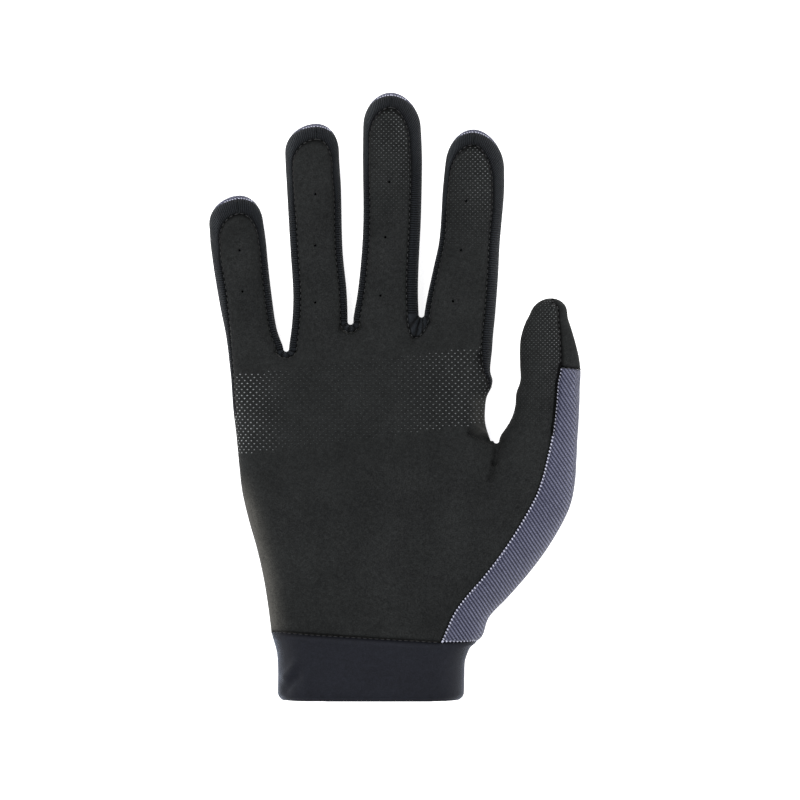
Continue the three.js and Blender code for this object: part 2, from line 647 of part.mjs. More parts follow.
// One sheet of the skin, the front (side 1) or the back (side -1): a patch for each finger and one
// for the palm and cuff, sharing the vertices of the side strip's edge.
function makeSheet(side) {
  const edge = side > 0 ? 0 : RINGS;
  const at = (k) => {
    const s = stations[k];
    const point = side > 0 ? s.front : s.back;
    return { id: rings[k][edge], point, thick: s.thick, edge: s.edge, lift: s.lift };
  };
  const place = (values) => ({ ...values, id: vertex(values.point, side, values) });
  const across = (left, right) => {
    const row = [left];
    for (let c = 1; c < FINGER_COLUMNS; c++) row.push(place(mix(left, right, share(c, FINGER_COLUMNS))));
    row.push(right);
    return row;
  };
  const quad = (node, a, b, c, d) =>
    side > 0 ? face(node, a.id, b.id, c.id, d.id) : face(node, a.id, d.id, c.id, b.id);

  const panel = side > 0 ? "palm_panel" : "back_panel";
  const bases = [...fingerSpans, thumbSpan].map((span) => {
    const isThumb = span === thumbSpan;
    const rows = [];
    const count = FINGER_ROWS + TIP_SEGMENTS / 2;
    for (let i = 0; i < count; i++) rows.push(across(at(span.first + i), at(span.last - i)));
    const tip = at(span.first + count);
    for (let i = 0; i < count; i++) {
      const node = side < 0 && isThumb && i >= PATCH_ROW ? "thumb_back_patch" : panel;
      for (let c = 0; c < FINGER_COLUMNS; c++) {
        if (i + 1 < count) quad(node, rows[i][c], rows[i][c + 1], rows[i + 1][c + 1], rows[i + 1][c]);
        else if (side > 0) face(node, rows[i][c].id, rows[i][c + 1].id, tip.id);
        else face(node, rows[i][c].id, tip.id, rows[i][c + 1].id);
      }
    }
    return rows[0];
  });

  // The top edge of the palm: finger bases, webs and the radial side, from left to right.
  const top = [];
  const add = (points, weight) => points.forEach((p) => top.push({ ...p, weight: weight / points.length }));
  const range = (first, last) => Array.from({ length: last - first + 1 }, (_, i) => at(first + i));
  bases.forEach((row, i) => {
    const wide = row[0].point.distanceTo(row[row.length - 1].point);
    add(row.slice(0, 1), i ? 1 : 0);
    add(row.slice(1), wide);
    if (i < WEBS.length) add(range(webSpans[i].first, webSpans[i].last), WEB_WEIGHT);
    if (i === WEBS.length) {
      add(range(radialFirst, radialFirst + RADIAL_ROWS - 1), RADIAL_WEIGHT);
      add(range(crotchSpan.first, crotchSpan.last), WEB_WEIGHT);
    }
  });
  const total = top.reduce((sum, p) => sum + p.weight, 0);
  let sum = 0;
  const shares = top.map((p) => (sum += p.weight) / total);

  // Rows from the hem up. The palm rows are stretched between the cuff seam and the top edge.
  const rowCount = CUFF_ROWS + PALM_ROWS;
  const leftOf = at;
  const rightOf = (r) => at(stations.length - 1 - r);
  const grid = [];
  for (let r = 0; r < rowCount; r++) {
    const [left, right] = [leftOf(r), rightOf(r)];
    const row = shares.map((c, i) => {
      if (i === 0) return left;
      if (i === shares.length - 1) return right;
      if (r <= CUFF_ROWS) return place(mix(left, right, c));
      const level = share(r - CUFF_ROWS, PALM_ROWS);
      const [cuffLeft, cuffRight] = [leftOf(CUFF_ROWS), rightOf(CUFF_ROWS)];
      const [topLeft, topRight] = [top[0], top[top.length - 1]];
      const height = level ** (1 + ROW_BIAS * Math.sin(Math.PI * c * c) ** 2);
      const upright = mix(mix(cuffLeft, cuffRight, c), top[i], height);
      const sides = [
        { is: left, straight: mix(cuffLeft, topLeft, level), pull: (1 - c) ** 2 },
        { is: right, straight: mix(cuffRight, topRight, level), pull: c ** 3 },
      ];
      for (const { is, straight, pull } of sides) {
        upright.point.add(is.point.clone().sub(straight.point).multiplyScalar(pull));
        for (const key of ["thick", "edge", "lift"]) upright[key] += (is[key] - straight[key]) * pull;
      }
      return place(upright);
    });
    grid.push(row);
  }
  grid.push(top);
  for (let r = 0; r < rowCount; r++)
    for (let i = 1; i < top.length; i++)
      quad(r < CUFF_ROWS ? "cuff" : panel, grid[r][i - 1], grid[r][i], grid[r + 1][i], grid[r + 1][i - 1]);
  grid[0].forEach((p) => skin.hem.add(p.id));
}
makeSheet(1);
makeSheet(-1);
[0, stations.length - 1].forEach((k) => rings[k].forEach((id) => skin.hem.add(id)));

// Normals of the whole skin, level at the hem so that the hem's rim is flat.
const normals = skin.points.map(() => new THREE.Vector3());
for (const faces of skin.faces.values())
  for (const corners of faces) {
    const p = corners.map((id) => skin.points[id]);
    const diagonals = [p[2].clone().sub(p[0]), p[corners.length - 1].clone().sub(p[1])];
    const normal = diagonals[0].cross(diagonals[1]);
    corners.forEach((id) => normals[id].add(normal));
  }
skin.hem.forEach((id) => normals[id].setY(0));
normals.forEach((n) => n.normalize());

// One panel as a closed wall: its outer skin, the same skin moved inwards, and a rim between them.
// Its edge is drawn back by half the seam gap.
function panelGeometry(node, wall) {
  const faces = skin.faces.get(node);
  const edges = new Map();
  for (const corners of faces)
    corners.forEach((a, i) => {
      const b = corners[(i + 1) % corners.length];
      if (edges.has(b + ":" + a)) edges.delete(b + ":" + a);
      else edges.set(a + ":" + b, { a, b, corners });
    });
  const pull = new Map();
  for (const { a, b, corners } of edges.values()) {
    if (skin.hem.has(a) && skin.hem.has(b)) continue;
    const along = skin.points[b].clone().sub(skin.points[a]).normalize();
    const middle = new THREE.Vector3();
    corners.forEach((id) => middle.addScaledVector(skin.points[id], 1 / corners.length));
    const into = middle.sub(skin.points[a]);
    into.addScaledVector(along, -into.dot(along)).normalize();
    for (const id of [a, b]) pull.set(id, (pull.get(id) || new THREE.Vector3()).add(into));
  }
  const outer = new Map();
  const used = new Set(faces.flat());
  for (const id of used) {
    const point = skin.points[id].clone();
    if (pull.has(id)) point.addScaledVector(pull.get(id).normalize(), SEAM_GAP / 2);
    outer.set(id, point);
  }
  const inner = new Map();
  for (const id of used) inner.set(id, outer.get(id).clone().addScaledVector(normals[id], -wall));
  const corners = [];
  const triangle = (a, b, c) => corners.push(...a.toArray(), ...b.toArray(), ...c.toArray());
  for (const ids of faces)
    for (let i = 2; i < ids.length; i++) {
      triangle(outer.get(ids[0]), outer.get(ids[i - 1]), outer.get(ids[i]));
      triangle(inner.get(ids[0]), inner.get(ids[i]), inner.get(ids[i - 1]));
    }
  // Both panels at a seam split their rims along the same diagonal, so that the gap stays open.
  for (const { a, b } of edges.values()) {
    const rim = [outer.get(a), inner.get(a), inner.get(b), outer.get(b)];
    if (a > b) rim.push(rim.shift());
    triangle(rim[0], rim[1], rim[2]);
    triangle(rim[0], rim[2], rim[3]);
  }
  return new THREE.BufferGeometry().setAttribute("position", new THREE.Float32BufferAttribute(corners, 3));
}

// Solids for the cuts
const MERGE_WITHIN = 1e-4;
const wasm = await Module();
wasm.setup();
function solidOf(geometry) {
  const bare = new THREE.BufferGeometry().setAttribute("position", geometry.getAttribute("position"));
  if (geometry.index) bare.setIndex(geometry.index);
  const merged = mergeVertices(bare, MERGE_WITHIN);
  return new wasm.Manifold(new wasm.Mesh({
    numProp: 3,
    vertProperties: merged.attributes.position.array,
    triVerts: new Uint32Array(merged.index.array),
  }));
}
function geometryOf(solid) {
  const mesh = solid.getMesh();
  return new THREE.BufferGeometry()
    .setAttribute("position", new THREE.BufferAttribute(mesh.vertProperties, 3))
    .setIndex(new THREE.BufferAttribute(mesh.triVerts, 1));
}

// Vent holes through the front of the fingers
function ventHoles(solid) {
  const drill = PALM_THICKNESS;
  for (const vent of VENTS) {
    const i = FINGERS.findIndex((finger) => finger.name === vent.finger);
    const finger = FINGERS[i];
    const middle = fingerFrames[i].at(vent.along * finger.length, vent.off * finger.width);
    const low = finger.curl + finger.thick * MID_SHARE;
    const bit = new THREE.CylinderGeometry(VENT_RADIUS, VENT_RADIUS, drill, VENT_SIDES);
    bit.rotateX(Math.PI / 2).translate(middle.x, middle.y, low + drill / 2);
    solid = solid.subtract(solidOf(bit));
  }
  return solid;
}

const cloth = (color, roughness) => new THREE.MeshStandardMaterial({ color, roughness, metalness: 0 });
const suede = cloth(0x26282a, 0.95);
const rib = cloth(0x1d2024, 0.85);
const twill = cloth(0x4d5068, 0.8);
const stretch = cloth(0x22252c, 0.55);

const glove = new THREE.Group();
function addPanel(name, geometry, material) {
  const mesh = new THREE.Mesh(geometry, material);
  mesh.name = name;
  glove.add(mesh);
}
addPanel("palm_panel", geometryOf(ventHoles(solidOf(panelGeometry("palm_panel", SUEDE_WALL)))), suede);
addPanel("back_panel", panelGeometry("back_panel", TWILL_WALL), twill);
addPanel("thumb_back_patch", panelGeometry("thumb_back_patch", SUEDE_WALL), suede);
SIDE_NODES.forEach((name) => addPanel(name, panelGeometry(name, RIB_WALL), rib));
addPanel("cuff", panelGeometry("cuff", CUFF_WALL), stretch);
glove.position.set(0, -REST_POINT, 0);

export default glove;
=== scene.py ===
"""Full-finger cycling glove, palm up: the cloth panels, seams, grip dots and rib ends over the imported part."""

import math

import bmesh
import bpy
import numpy as np
from mathutils import Matrix, Vector, noise
from mathutils.bvhtree import BVHTree


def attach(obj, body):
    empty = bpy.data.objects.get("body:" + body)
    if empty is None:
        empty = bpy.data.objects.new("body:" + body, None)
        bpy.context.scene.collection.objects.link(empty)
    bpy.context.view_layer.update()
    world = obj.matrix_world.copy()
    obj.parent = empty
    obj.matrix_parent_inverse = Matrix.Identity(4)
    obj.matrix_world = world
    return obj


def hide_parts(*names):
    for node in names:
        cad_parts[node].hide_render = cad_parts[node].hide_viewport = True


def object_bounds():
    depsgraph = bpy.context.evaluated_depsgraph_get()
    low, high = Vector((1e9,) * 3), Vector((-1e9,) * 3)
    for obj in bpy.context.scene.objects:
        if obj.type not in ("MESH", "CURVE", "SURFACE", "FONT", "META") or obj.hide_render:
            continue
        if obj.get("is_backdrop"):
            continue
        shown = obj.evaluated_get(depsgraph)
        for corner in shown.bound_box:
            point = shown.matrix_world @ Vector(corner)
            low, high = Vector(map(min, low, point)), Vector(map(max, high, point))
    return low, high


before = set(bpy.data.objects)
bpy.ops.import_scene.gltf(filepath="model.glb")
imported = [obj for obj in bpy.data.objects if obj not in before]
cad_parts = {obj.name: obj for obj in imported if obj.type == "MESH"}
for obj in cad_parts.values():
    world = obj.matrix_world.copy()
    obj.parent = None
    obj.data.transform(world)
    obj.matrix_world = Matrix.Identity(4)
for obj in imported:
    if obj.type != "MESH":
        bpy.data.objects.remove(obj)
cad_low, cad_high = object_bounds()
MM = 0.001

# ---- The glove's sizes, in millimetres, as in the part's source ----

PALM_WIDTH = 104
PALM_LENGTH = 110.5
PALM_THICKNESS = 27
KNUCKLE_THICKNESS = 20
CUFF_LENGTH = 24.9
CUFF_SLANT = 3.8
CUFF_WIDTH = 73.4
CUFF_THICKNESS = 24
CUFF_SEAM_WIDTH = 81.7
CUFF_SEAM_SHIFT = 1.6
HAND_OFFSET = -4.3
THUMB_BASE_OUTER = 81.4
THUMB_BASE_HEIGHT = 78
CROTCH_X = 49.4
CROTCH_DROP = 36.2
THUMB_THICKNESS = 22
WEB_RADIUS = 1.1
SUEDE_WALL = 1.2
TWILL_WALL = 1.2
RIB_WALL = 1.1
CUFF_WALL = 1.8
VENT_RADIUS = 0.5
SIDE_INSET = 3
BACK_INSET = 4
WRAP_INSET = 13
REST_POINT = 88

FINGERS = [
    dict(name="little", base=0.22, width=21.6, length=61.4, lean=6.8, tip=10.8, thick=15, curl=2.5,
         left=3.2, right=2.2, end=7.3),
    dict(name="ring", base=0.2437, width=21.7, length=83.4, lean=0.5, tip=11.2, thick=15.5, curl=3,
         left=2.6, right=2.3, end=6.3),
    dict(name="middle", base=0.269, width=23.2, length=88.9, lean=-1.35, tip=13.2, thick=16, curl=3,
         left=2.1, right=4.2, end=6.1),
    dict(name="index", base=0.2673, width=24.2, length=80.5, lean=-4.6, tip=14, thick=16, curl=2.5,
         left=1.5, right=4, end=6.3),
]
THUMB = dict(name="thumb", width=23.6, length=56, lean=-5.8, tip=6.3, thick=16, curl=5, end=1.6,
             left=SIDE_INSET)

# Vent holes: finger, share of its length, share of its width off its centre line
VENTS = [
    ("little", 0.644, -0.071), ("little", 0.381, -0.106),
    ("ring", 0.663, -0.03), ("ring", 0.422, -0.038), ("ring", 0.153, -0.047),
    ("middle", 0.6, 0), ("middle", 0.356, -0.043), ("middle", 0.098, -0.104),
    ("index", 0.644, -0.048), ("index", 0.403, -0.065), ("index", 0.151, -0.129),
]
WEBS = [
    dict(up=1.0, inset=2, lean=1),
    dict(up=1.096, inset=2.6, lean=1),
    dict(up=1.122, inset=7.8, lean=0.8),
]
SIDES = {
    "little": dict(
        at=(0, 0.12, 0.3, 0.5, 0.7, 0.82, 1),
        left=(0.502, 0.509, 0.551, 0.581, 0.593, 0.576, 0.576),
        right=(0.5, 0.426, 0.407, 0.407, 0.419, 0.412, 0.412),
    ),
    "ring": dict(
        at=(-0.05, 0.06, 0.2, 0.4, 0.7, 0.86, 1),
        left=(0.51, 0.47, 0.452, 0.493, 0.55, 0.575, 0.565),
        right=(0.545, 0.545, 0.525, 0.455, 0.435, 0.405, 0.42),
    ),
    "middle": dict(
        at=(0, 0.12, 0.3, 0.45, 0.7, 0.85, 1),
        left=(0.55, 0.487, 0.437, 0.427, 0.457, 0.465, 0.46),
        right=(0.53, 0.525, 0.54, 0.555, 0.55, 0.515, 0.46),
    ),
    "index": dict(
        at=(0, 0.12, 0.3, 0.45, 0.7, 0.83, 1),
        left=(0.61, 0.575, 0.49, 0.428, 0.438, 0.43, 0.42),
        right=(0.568, 0.578, 0.575, 0.56, 0.563, 0.53, 0.46),
    ),
    "thumb": dict(
        at=(0, 0.12, 0.22, 0.31, 0.4, 0.5, 0.6, 0.7, 0.8, 0.89, 1),
        left=(0.606, 0.485, 0.442, 0.446, 0.4, 0.428, 0.458, 0.466, 0.422, 0.345, 0.3),
        right=(0.648, 0.643, 0.632, 0.62, 0.602, 0.59, 0.54, 0.458, 0.362, 0.275, 0.295),
        seam=(0.8, 0.765, 0.74, 0.725, 0.7, 0.635, 0.55, 0.455, 0.335, 0.245, 0.2),
    ),
}
ULNAR_SIDE = dict(
    at=(0, 0.1, 0.2, 0.3, 0.4, 0.5, 0.6, 0.7, 0.8, 0.9, 1),
    out=(0, 0.08, 0.187, 0.335, 0.52, 0.67, 0.745, 0.808, 0.885, 0.93, 1),
    seam=(1, 1, 1, 1, 1, 0.95, 0.8, 0.5, 0.25, 0.25, 0.4),
)
THENAR_SIDE = dict(
    at=(0, 0.11, 0.22, 0.33, 0.44, 0.56, 0.67, 0.78, 0.89, 1),
    out=(0, 0.083, 0.295, 0.493, 0.665, 0.818, 0.925, 0.973, 0.99, 1),
    seam=(1.15, 1.05, 1, 1.05, 1.1, 1.12, 1.1, 1.03, 0.92, 0.8),
)
RADIAL_SIDE = dict(
    at=(0, 0.2, 0.4, 0.5, 0.6, 0.8, 1),
    out=(0, -0.024, -0.0175, -0.065, -0.085, -0.09, -0.035),
    seam=(1.33, 0.75, 0.25, 0.45, 0.8, 1, 1),
)
CUFF_SIDES = dict(
    at=(0, 0.3, 0.6, 0.9, 1),
    left=(1.06, 1.01, 0.998, 1, 0.985),
    right=(1.1, 1.015, 1.003, 0.998, 0.98),
)
PALM_SECTIONS = dict(
    at=(0, 0.12, 0.35, 0.65, 0.85, 1),
    thick=(0.9, 0.97, 1, 0.96, 0.86, 0.76),
    edge=(0.87, 0.95, 1, 0.95, 0.82, 0.7),
)
PALM_EDGE = 15
KNUCKLE_EDGE = 10
CUFF_EDGE = 13
FINGER_EDGE_SHARE = 0.48

MOUNDS = [
    dict(name="thumb_mound", x=0.4, y=0.37, rx=0.2, ry=0.3, rise=0.15),
    dict(name="heel_mound", x=-0.27, y=0.38, rx=0.16, ry=0.34, rise=0.09),
    dict(name="palm_hollow", x=0.02, y=0.55, rx=0.16, ry=0.26, rise=-0.09),
    dict(name="knuckle_pad", x=-0.02, y=0.93, rx=0.4, ry=0.12, rise=0.04),
]
FOLDS = [
    dict(name="crotch_crease", dx=-0.06, dy=-0.2, wide=0.04, depth=0.13),
    dict(name="crotch_tuck", dx=-0.2, dy=0.075, wide=0.028, depth=0.09),
]

# How finely each run of the skin is divided
FINGER_ROWS = 42
TIP_SEGMENTS = 32
WEB_SEGMENTS = 16
PALM_ROWS = 72
RADIAL_ROWS = 30
CUFF_ROWS = 18
FINGER_COLUMNS = 18
FRONT_CELLS = 10
BACK_CELLS = 8
STRIP_START_ROW = 56
STRIP_END_ROW = 12
PATCH_ROW = 24
TIP_CORNER = (TIP_SEGMENTS - FINGER_COLUMNS) // 2
TIP_BLEND_ROWS = 16
TIP_ROUNDS = 120
PALM_ROUNDS = 400

MID_SHARE = 0.46
TOP_POWER = 2.2
FLAT_EDGE_SHARE = 0.7
BACK_SEAM = -0.55
PALM_BACK_SEAM = -0.3
TIP_BACK_SEAM = 0.33
SHOULDER_BACK_SEAM = -0.2
SHOULDER_FROM = 0.7
THICK_TO = 0.9
DROP_FROM = 0.5
CUFF_FRONT_INSET = 9
FADE = 0.25
CUFF_STEP = 0.33
LEVEL_SHARE = 0.35
WEB_WEIGHT = 4
RADIAL_WEIGHT = 14
ROW_BIAS = 0.6

PANELS = [
    "palm_panel", "back_panel", "thumb_back_patch", "little_outer_strip", "little_ring_fourchette",
    "ring_middle_fourchette", "middle_index_fourchette", "index_outer_strip", "cuff",
]
STRIPS = PANELS[3:8]


def lerp(a, b, t):
    return a + (b - a) * t


def smooth(t):
    t = np.clip(t, 0, 1)
    return t * t * (3 - 2 * t)


def between(value, low, high, rise, fall):
    """1 from low to high, over a soft start and end of those lengths."""
    return smooth((value - low) / rise) * smooth((high - value) / fall)


def read(table, column, at):
    """A column of a table at a share, on a smooth curve through its rows."""
    x, y = np.array(table["at"], float), np.array(table[column], float)
    last = len(x) - 1
    low, high = np.maximum(np.arange(last + 1) - 1, 0), np.minimum(np.arange(last + 1) + 1, last)
    slope = (y[high] - y[low]) / (x[high] - x[low])
    i = np.clip(np.searchsorted(x, at, side="left"), 1, last)
    span = x[i] - x[i - 1]
    t = np.clip((at - x[i - 1]) / span, 0, 1)
    bend = slope[i - 1] * span * t * (1 - t) ** 2 - slope[i] * span * t * t * (1 - t)
    return y[i - 1] + (y[i] - y[i - 1]) * smooth(t) + bend


def unit(v):
    return v / np.linalg.norm(v, axis=-1, keepdims=True)


def plan(x, y):
    return np.stack(np.broadcast_arrays(np.asarray(x, float), np.asarray(y, float)), axis=-1)


# ---- The outline: stations round the hand, each with its sheet edges and thickness ----

SEAM_MIDDLE = CUFF_LENGTH
ULNAR_CUFF = plan(CUFF_SEAM_SHIFT - CUFF_SEAM_WIDTH / 2, SEAM_MIDDLE + CUFF_SLANT / 2)
RADIAL_CUFF = plan(CUFF_SEAM_SHIFT + CUFF_SEAM_WIDTH / 2, SEAM_MIDDLE - CUFF_SLANT / 2)
HAND_LEFT = HAND_OFFSET - PALM_WIDTH / 2


def web_height(up):
    return SEAM_MIDDLE + CUFF_SLANT / 2 + PALM_LENGTH * up


LITTLE_CORNER = plan(HAND_LEFT, web_height(1))
INDEX_CORNER = plan(HAND_LEFT + PALM_WIDTH, web_height(1))
CROTCH = plan(CROTCH_X, web_height(1) - CROTCH_DROP)
THUMB_CORNER = plan(THUMB_BASE_OUTER, SEAM_MIDDLE + THUMB_BASE_HEIGHT)
web_centres = [
    plan(HAND_LEFT + PALM_WIDTH * sum(f["base"] for f in FINGERS[:i + 1]), web_height(web["up"]) + WEB_RADIUS)
    for i, web in enumerate(WEBS)
] + [CROTCH + plan(0, WEB_RADIUS)]


class FingerFrame:
    """A finger's own frame: u runs from its base to its tip, v across it to the thumb side."""

    def __init__(self, finger, left, right):
        angle = math.radians(finger["lean"])
        self.finger = finger
        self.along = plan(-math.sin(angle), math.cos(angle))
        self.across = plan(self.along[1], -self.along[0])
        self.base = (left + right) / 2
        self.corner = {-1: left, 1: right}
        self.round_from = 1 - finger["tip"] / finger["length"]

    def at(self, u, v):
        u, v = np.asarray(u, float), np.asarray(v, float)
        return self.base + self.along * u[..., None] + self.across * v[..., None]

    def within(self, point):
        """A plan point's places along the finger and across it."""
        reach = np.asarray(point)[:2] - self.base
        return reach @ self.along, reach @ self.across

    def half(self, sign, share):
        column = "left" if sign < 0 else "right"
        return self.finger["width"] * read(SIDES[self.finger["name"]], column, share)

    def side(self, sign, t, inset, short):
        """Points beside the finger, that far in from its outline and that far short of its tip."""
        length = self.finger["length"]
        start = (self.corner[sign] - self.base) @ self.along / length
        share = lerp(start, self.round_from, t)
        miss = self.corner[sign] - self.at(start * length, sign * self.half(sign, start))
        fade = np.clip(1 - (share - start) / FADE, 0, 1) ** 2
        drop = short * smooth((share - DROP_FROM) / (self.round_from - DROP_FROM))
        point = self.at(share * length - drop, sign * (self.half(sign, share) - inset))
        return point + miss * fade[:, None]

    def end(self, turn, left_inset, right_inset, short):
        """Points on the rounded tip: turn is 0 on the left side and 1 on the right."""
        angle = math.pi * (1 - turn)
        left = turn < 0.5
        share = lerp(self.round_from, 1, np.sin(angle))
        half = np.where(left, self.half(-1, share) - left_inset, self.half(1, share) - right_inset)
        return self.at(share * self.finger["length"] - short, half * np.cos(angle))


stations = []
station_count = 0


def add_stations(outline, front, back, thick, edge, lift, seam, panel, patch=False):
    """Adds a run of stations, and returns the numbers of its first and last."""
    global station_count
    count = len(outline)
    each = [np.broadcast_to(np.asarray(v, float), (count,)) for v in (thick, edge, lift, seam)]
    numbers = np.broadcast_to(np.asarray(panel), (count,))
    patches = np.broadcast_to(np.asarray(patch, float), (count,))
    stations.append(np.column_stack([outline, front, back, *each, numbers, patches]))
    station_count += count
    return station_count - count, station_count - 1


def inward(point_at, t, inset, level):
    """Points beside the outline. level is 1 where they lie straight across the glove from it."""
    step = 0.01
    direction = unit(point_at(np.minimum(t + step, 1)) - point_at(np.maximum(t - step, 0)))
    across = plan(direction[:, 1], -direction[:, 0])
    level = np.broadcast_to(level, t.shape)[:, None]
    across = unit(lerp(across, plan(np.sign(across[:, 0]), 0), level))
    return point_at(t) + across * np.broadcast_to(inset, t.shape)[:, None]


def add_side(point_at, t, inset, level, **values):
    back = inward(point_at, t, BACK_INSET, level)
    return add_stations(point_at(t), inward(point_at, t, inset, level), back, **values)


def palm_values(t):
    return dict(
        thick=PALM_THICKNESS * read(PALM_SECTIONS, "thick", t),
        edge=PALM_EDGE * read(PALM_SECTIONS, "edge", t),
        lift=0,
        seam=PALM_BACK_SEAM,
    )


def add_cuff(sign, t, inset):
    column = "left" if sign < 0 else "right"
    corner = ULNAR_CUFF if sign < 0 else RADIAL_CUFF
    half = CUFF_WIDTH / 2 * read(CUFF_SIDES, column, t)
    first = CUFF_WIDTH / 2 * CUFF_SIDES[column][0]
    pull = (abs(corner[0]) - first) * (1 - smooth(t / CUFF_STEP))
    outline = plan(sign * (half + pull), corner[1] * (1 - t))
    add_stations(
        outline,
        outline - plan(sign * inset, 0),
        outline - plan(sign * BACK_INSET, 0),
        thick=lerp(PALM_THICKNESS * PALM_SECTIONS["thick"][0], CUFF_THICKNESS, smooth(t)),
        edge=lerp(PALM_EDGE * PALM_SECTIONS["edge"][0], CUFF_EDGE, smooth(t)),
        lift=0,
        seam=PALM_BACK_SEAM,
        panel=PANELS.index("cuff"),
    )


def add_finger(finger, left, right, left_panel, right_panel, corner_insets):
    """One finger: up its left side, round its tip and down its right side."""
    is_thumb = finger is THUMB
    place = FingerFrame(finger, left, right)
    full_edge = finger["width"] * FINGER_EDGE_SHARE
    base_thick = THUMB_THICKNESS if is_thumb else KNUCKLE_THICKNESS

    def values(along):
        return dict(
            thick=lerp(base_thick, finger["thick"], smooth(along / THICK_TO)),
            edge=np.minimum(full_edge, lerp(KNUCKLE_EDGE, full_edge, along)),
            lift=finger["curl"] * along ** 2,
        )

    def seam_inset(sign, t):
        if is_thumb and sign > 0:
            return WRAP_INSET * read(SIDES["thumb"], "seam", t * place.round_from)
        return lerp(corner_insets[sign], finger["left" if sign < 0 else "right"], smooth(t * 2))

    def one_side(sign, rows):
        t = rows / FINGER_ROWS
        near_tip = smooth((t - SHOULDER_FROM) / (1 - SHOULDER_FROM))
        seam = PALM_BACK_SEAM if is_thumb else lerp(BACK_SEAM, SHOULDER_BACK_SEAM, near_tip)
        panel = np.full(len(rows), PANELS.index(left_panel if sign < 0 else right_panel))
        if is_thumb and sign > 0:
            panel[rows <= PATCH_ROW] = PANELS.index("back_panel")
        patch = is_thumb and (rows >= PATCH_ROW if sign < 0 else rows > PATCH_ROW)
        return add_stations(
            place.side(sign, t, 0, 0),
            place.side(sign, t, seam_inset(sign, t), finger["end"]),
            place.side(sign, t, BACK_INSET, BACK_INSET),
            seam=seam, panel=panel, patch=patch, **values(t),
        )

    first, _ = one_side(-1, np.arange(FINGER_ROWS + 1))
    turn = np.arange(1, TIP_SEGMENTS) / TIP_SEGMENTS
    one = np.array(1.0)
    insets = [seam_inset(-1, one), seam_inset(1, one)]
    half_way = turn < 0.5
    tip_panel = np.where(half_way, PANELS.index(left_panel), PANELS.index(right_panel))
    tip_seam = lerp(SHOULDER_BACK_SEAM, TIP_BACK_SEAM, np.sin(math.pi * turn))
    add_stations(
        place.end(turn, 0, 0, 0),
        place.end(turn, *insets, finger["end"]),
        place.end(turn, BACK_INSET, BACK_INSET, BACK_INSET),
        seam=PALM_BACK_SEAM if is_thumb else tip_seam, panel=tip_panel, patch=is_thumb, **values(one),
    )
    _, last = one_side(1, np.arange(FINGER_ROWS, -1, -1))
    return place, (first, last)


def add_web(centre, panel, left, right, bottom, lean, thick, seam):
    """The half circle of a web, without its two ends."""
    turn = np.arange(1, WEB_SEGMENTS) / WEB_SEGMENTS
    ring = plan(-np.cos(math.pi * turn), -np.sin(math.pi * turn))
    front = plan(
        lerp(-WEB_RADIUS - left, WEB_RADIUS + right, (1 - np.cos(math.pi * turn)) / 2),
        -(WEB_RADIUS + bottom) * np.sin(math.pi * turn ** lean),
    )
    return add_stations(
        centre + ring * WEB_RADIUS, centre + front, centre + ring * (WEB_RADIUS + BACK_INSET),
        thick=thick, edge=KNUCKLE_EDGE, lift=0, seam=seam, panel=PANELS.index(panel),
    )


def web_end(i, sign):
    return web_centres[i] + plan(sign * WEB_RADIUS, 0)


def ulnar_point(t):
    x = lerp(ULNAR_CUFF[0], LITTLE_CORNER[0], read(ULNAR_SIDE, "out", t))
    return plan(x, lerp(ULNAR_CUFF[1], LITTLE_CORNER[1], t))


def radial_point(t):
    low = web_end(len(WEBS), -1)
    bulge = (INDEX_CORNER[1] - low[1]) * read(RADIAL_SIDE, "out", t)
    return plan(lerp(INDEX_CORNER[0], low[0], t) + bulge, lerp(INDEX_CORNER[1], low[1], t))


def thenar_point(t):
    x = lerp(RADIAL_CUFF[0], THUMB_CORNER[0], read(THENAR_SIDE, "out", 1 - t))
    return plan(x, lerp(RADIAL_CUFF[1], THUMB_CORNER[1], 1 - t))


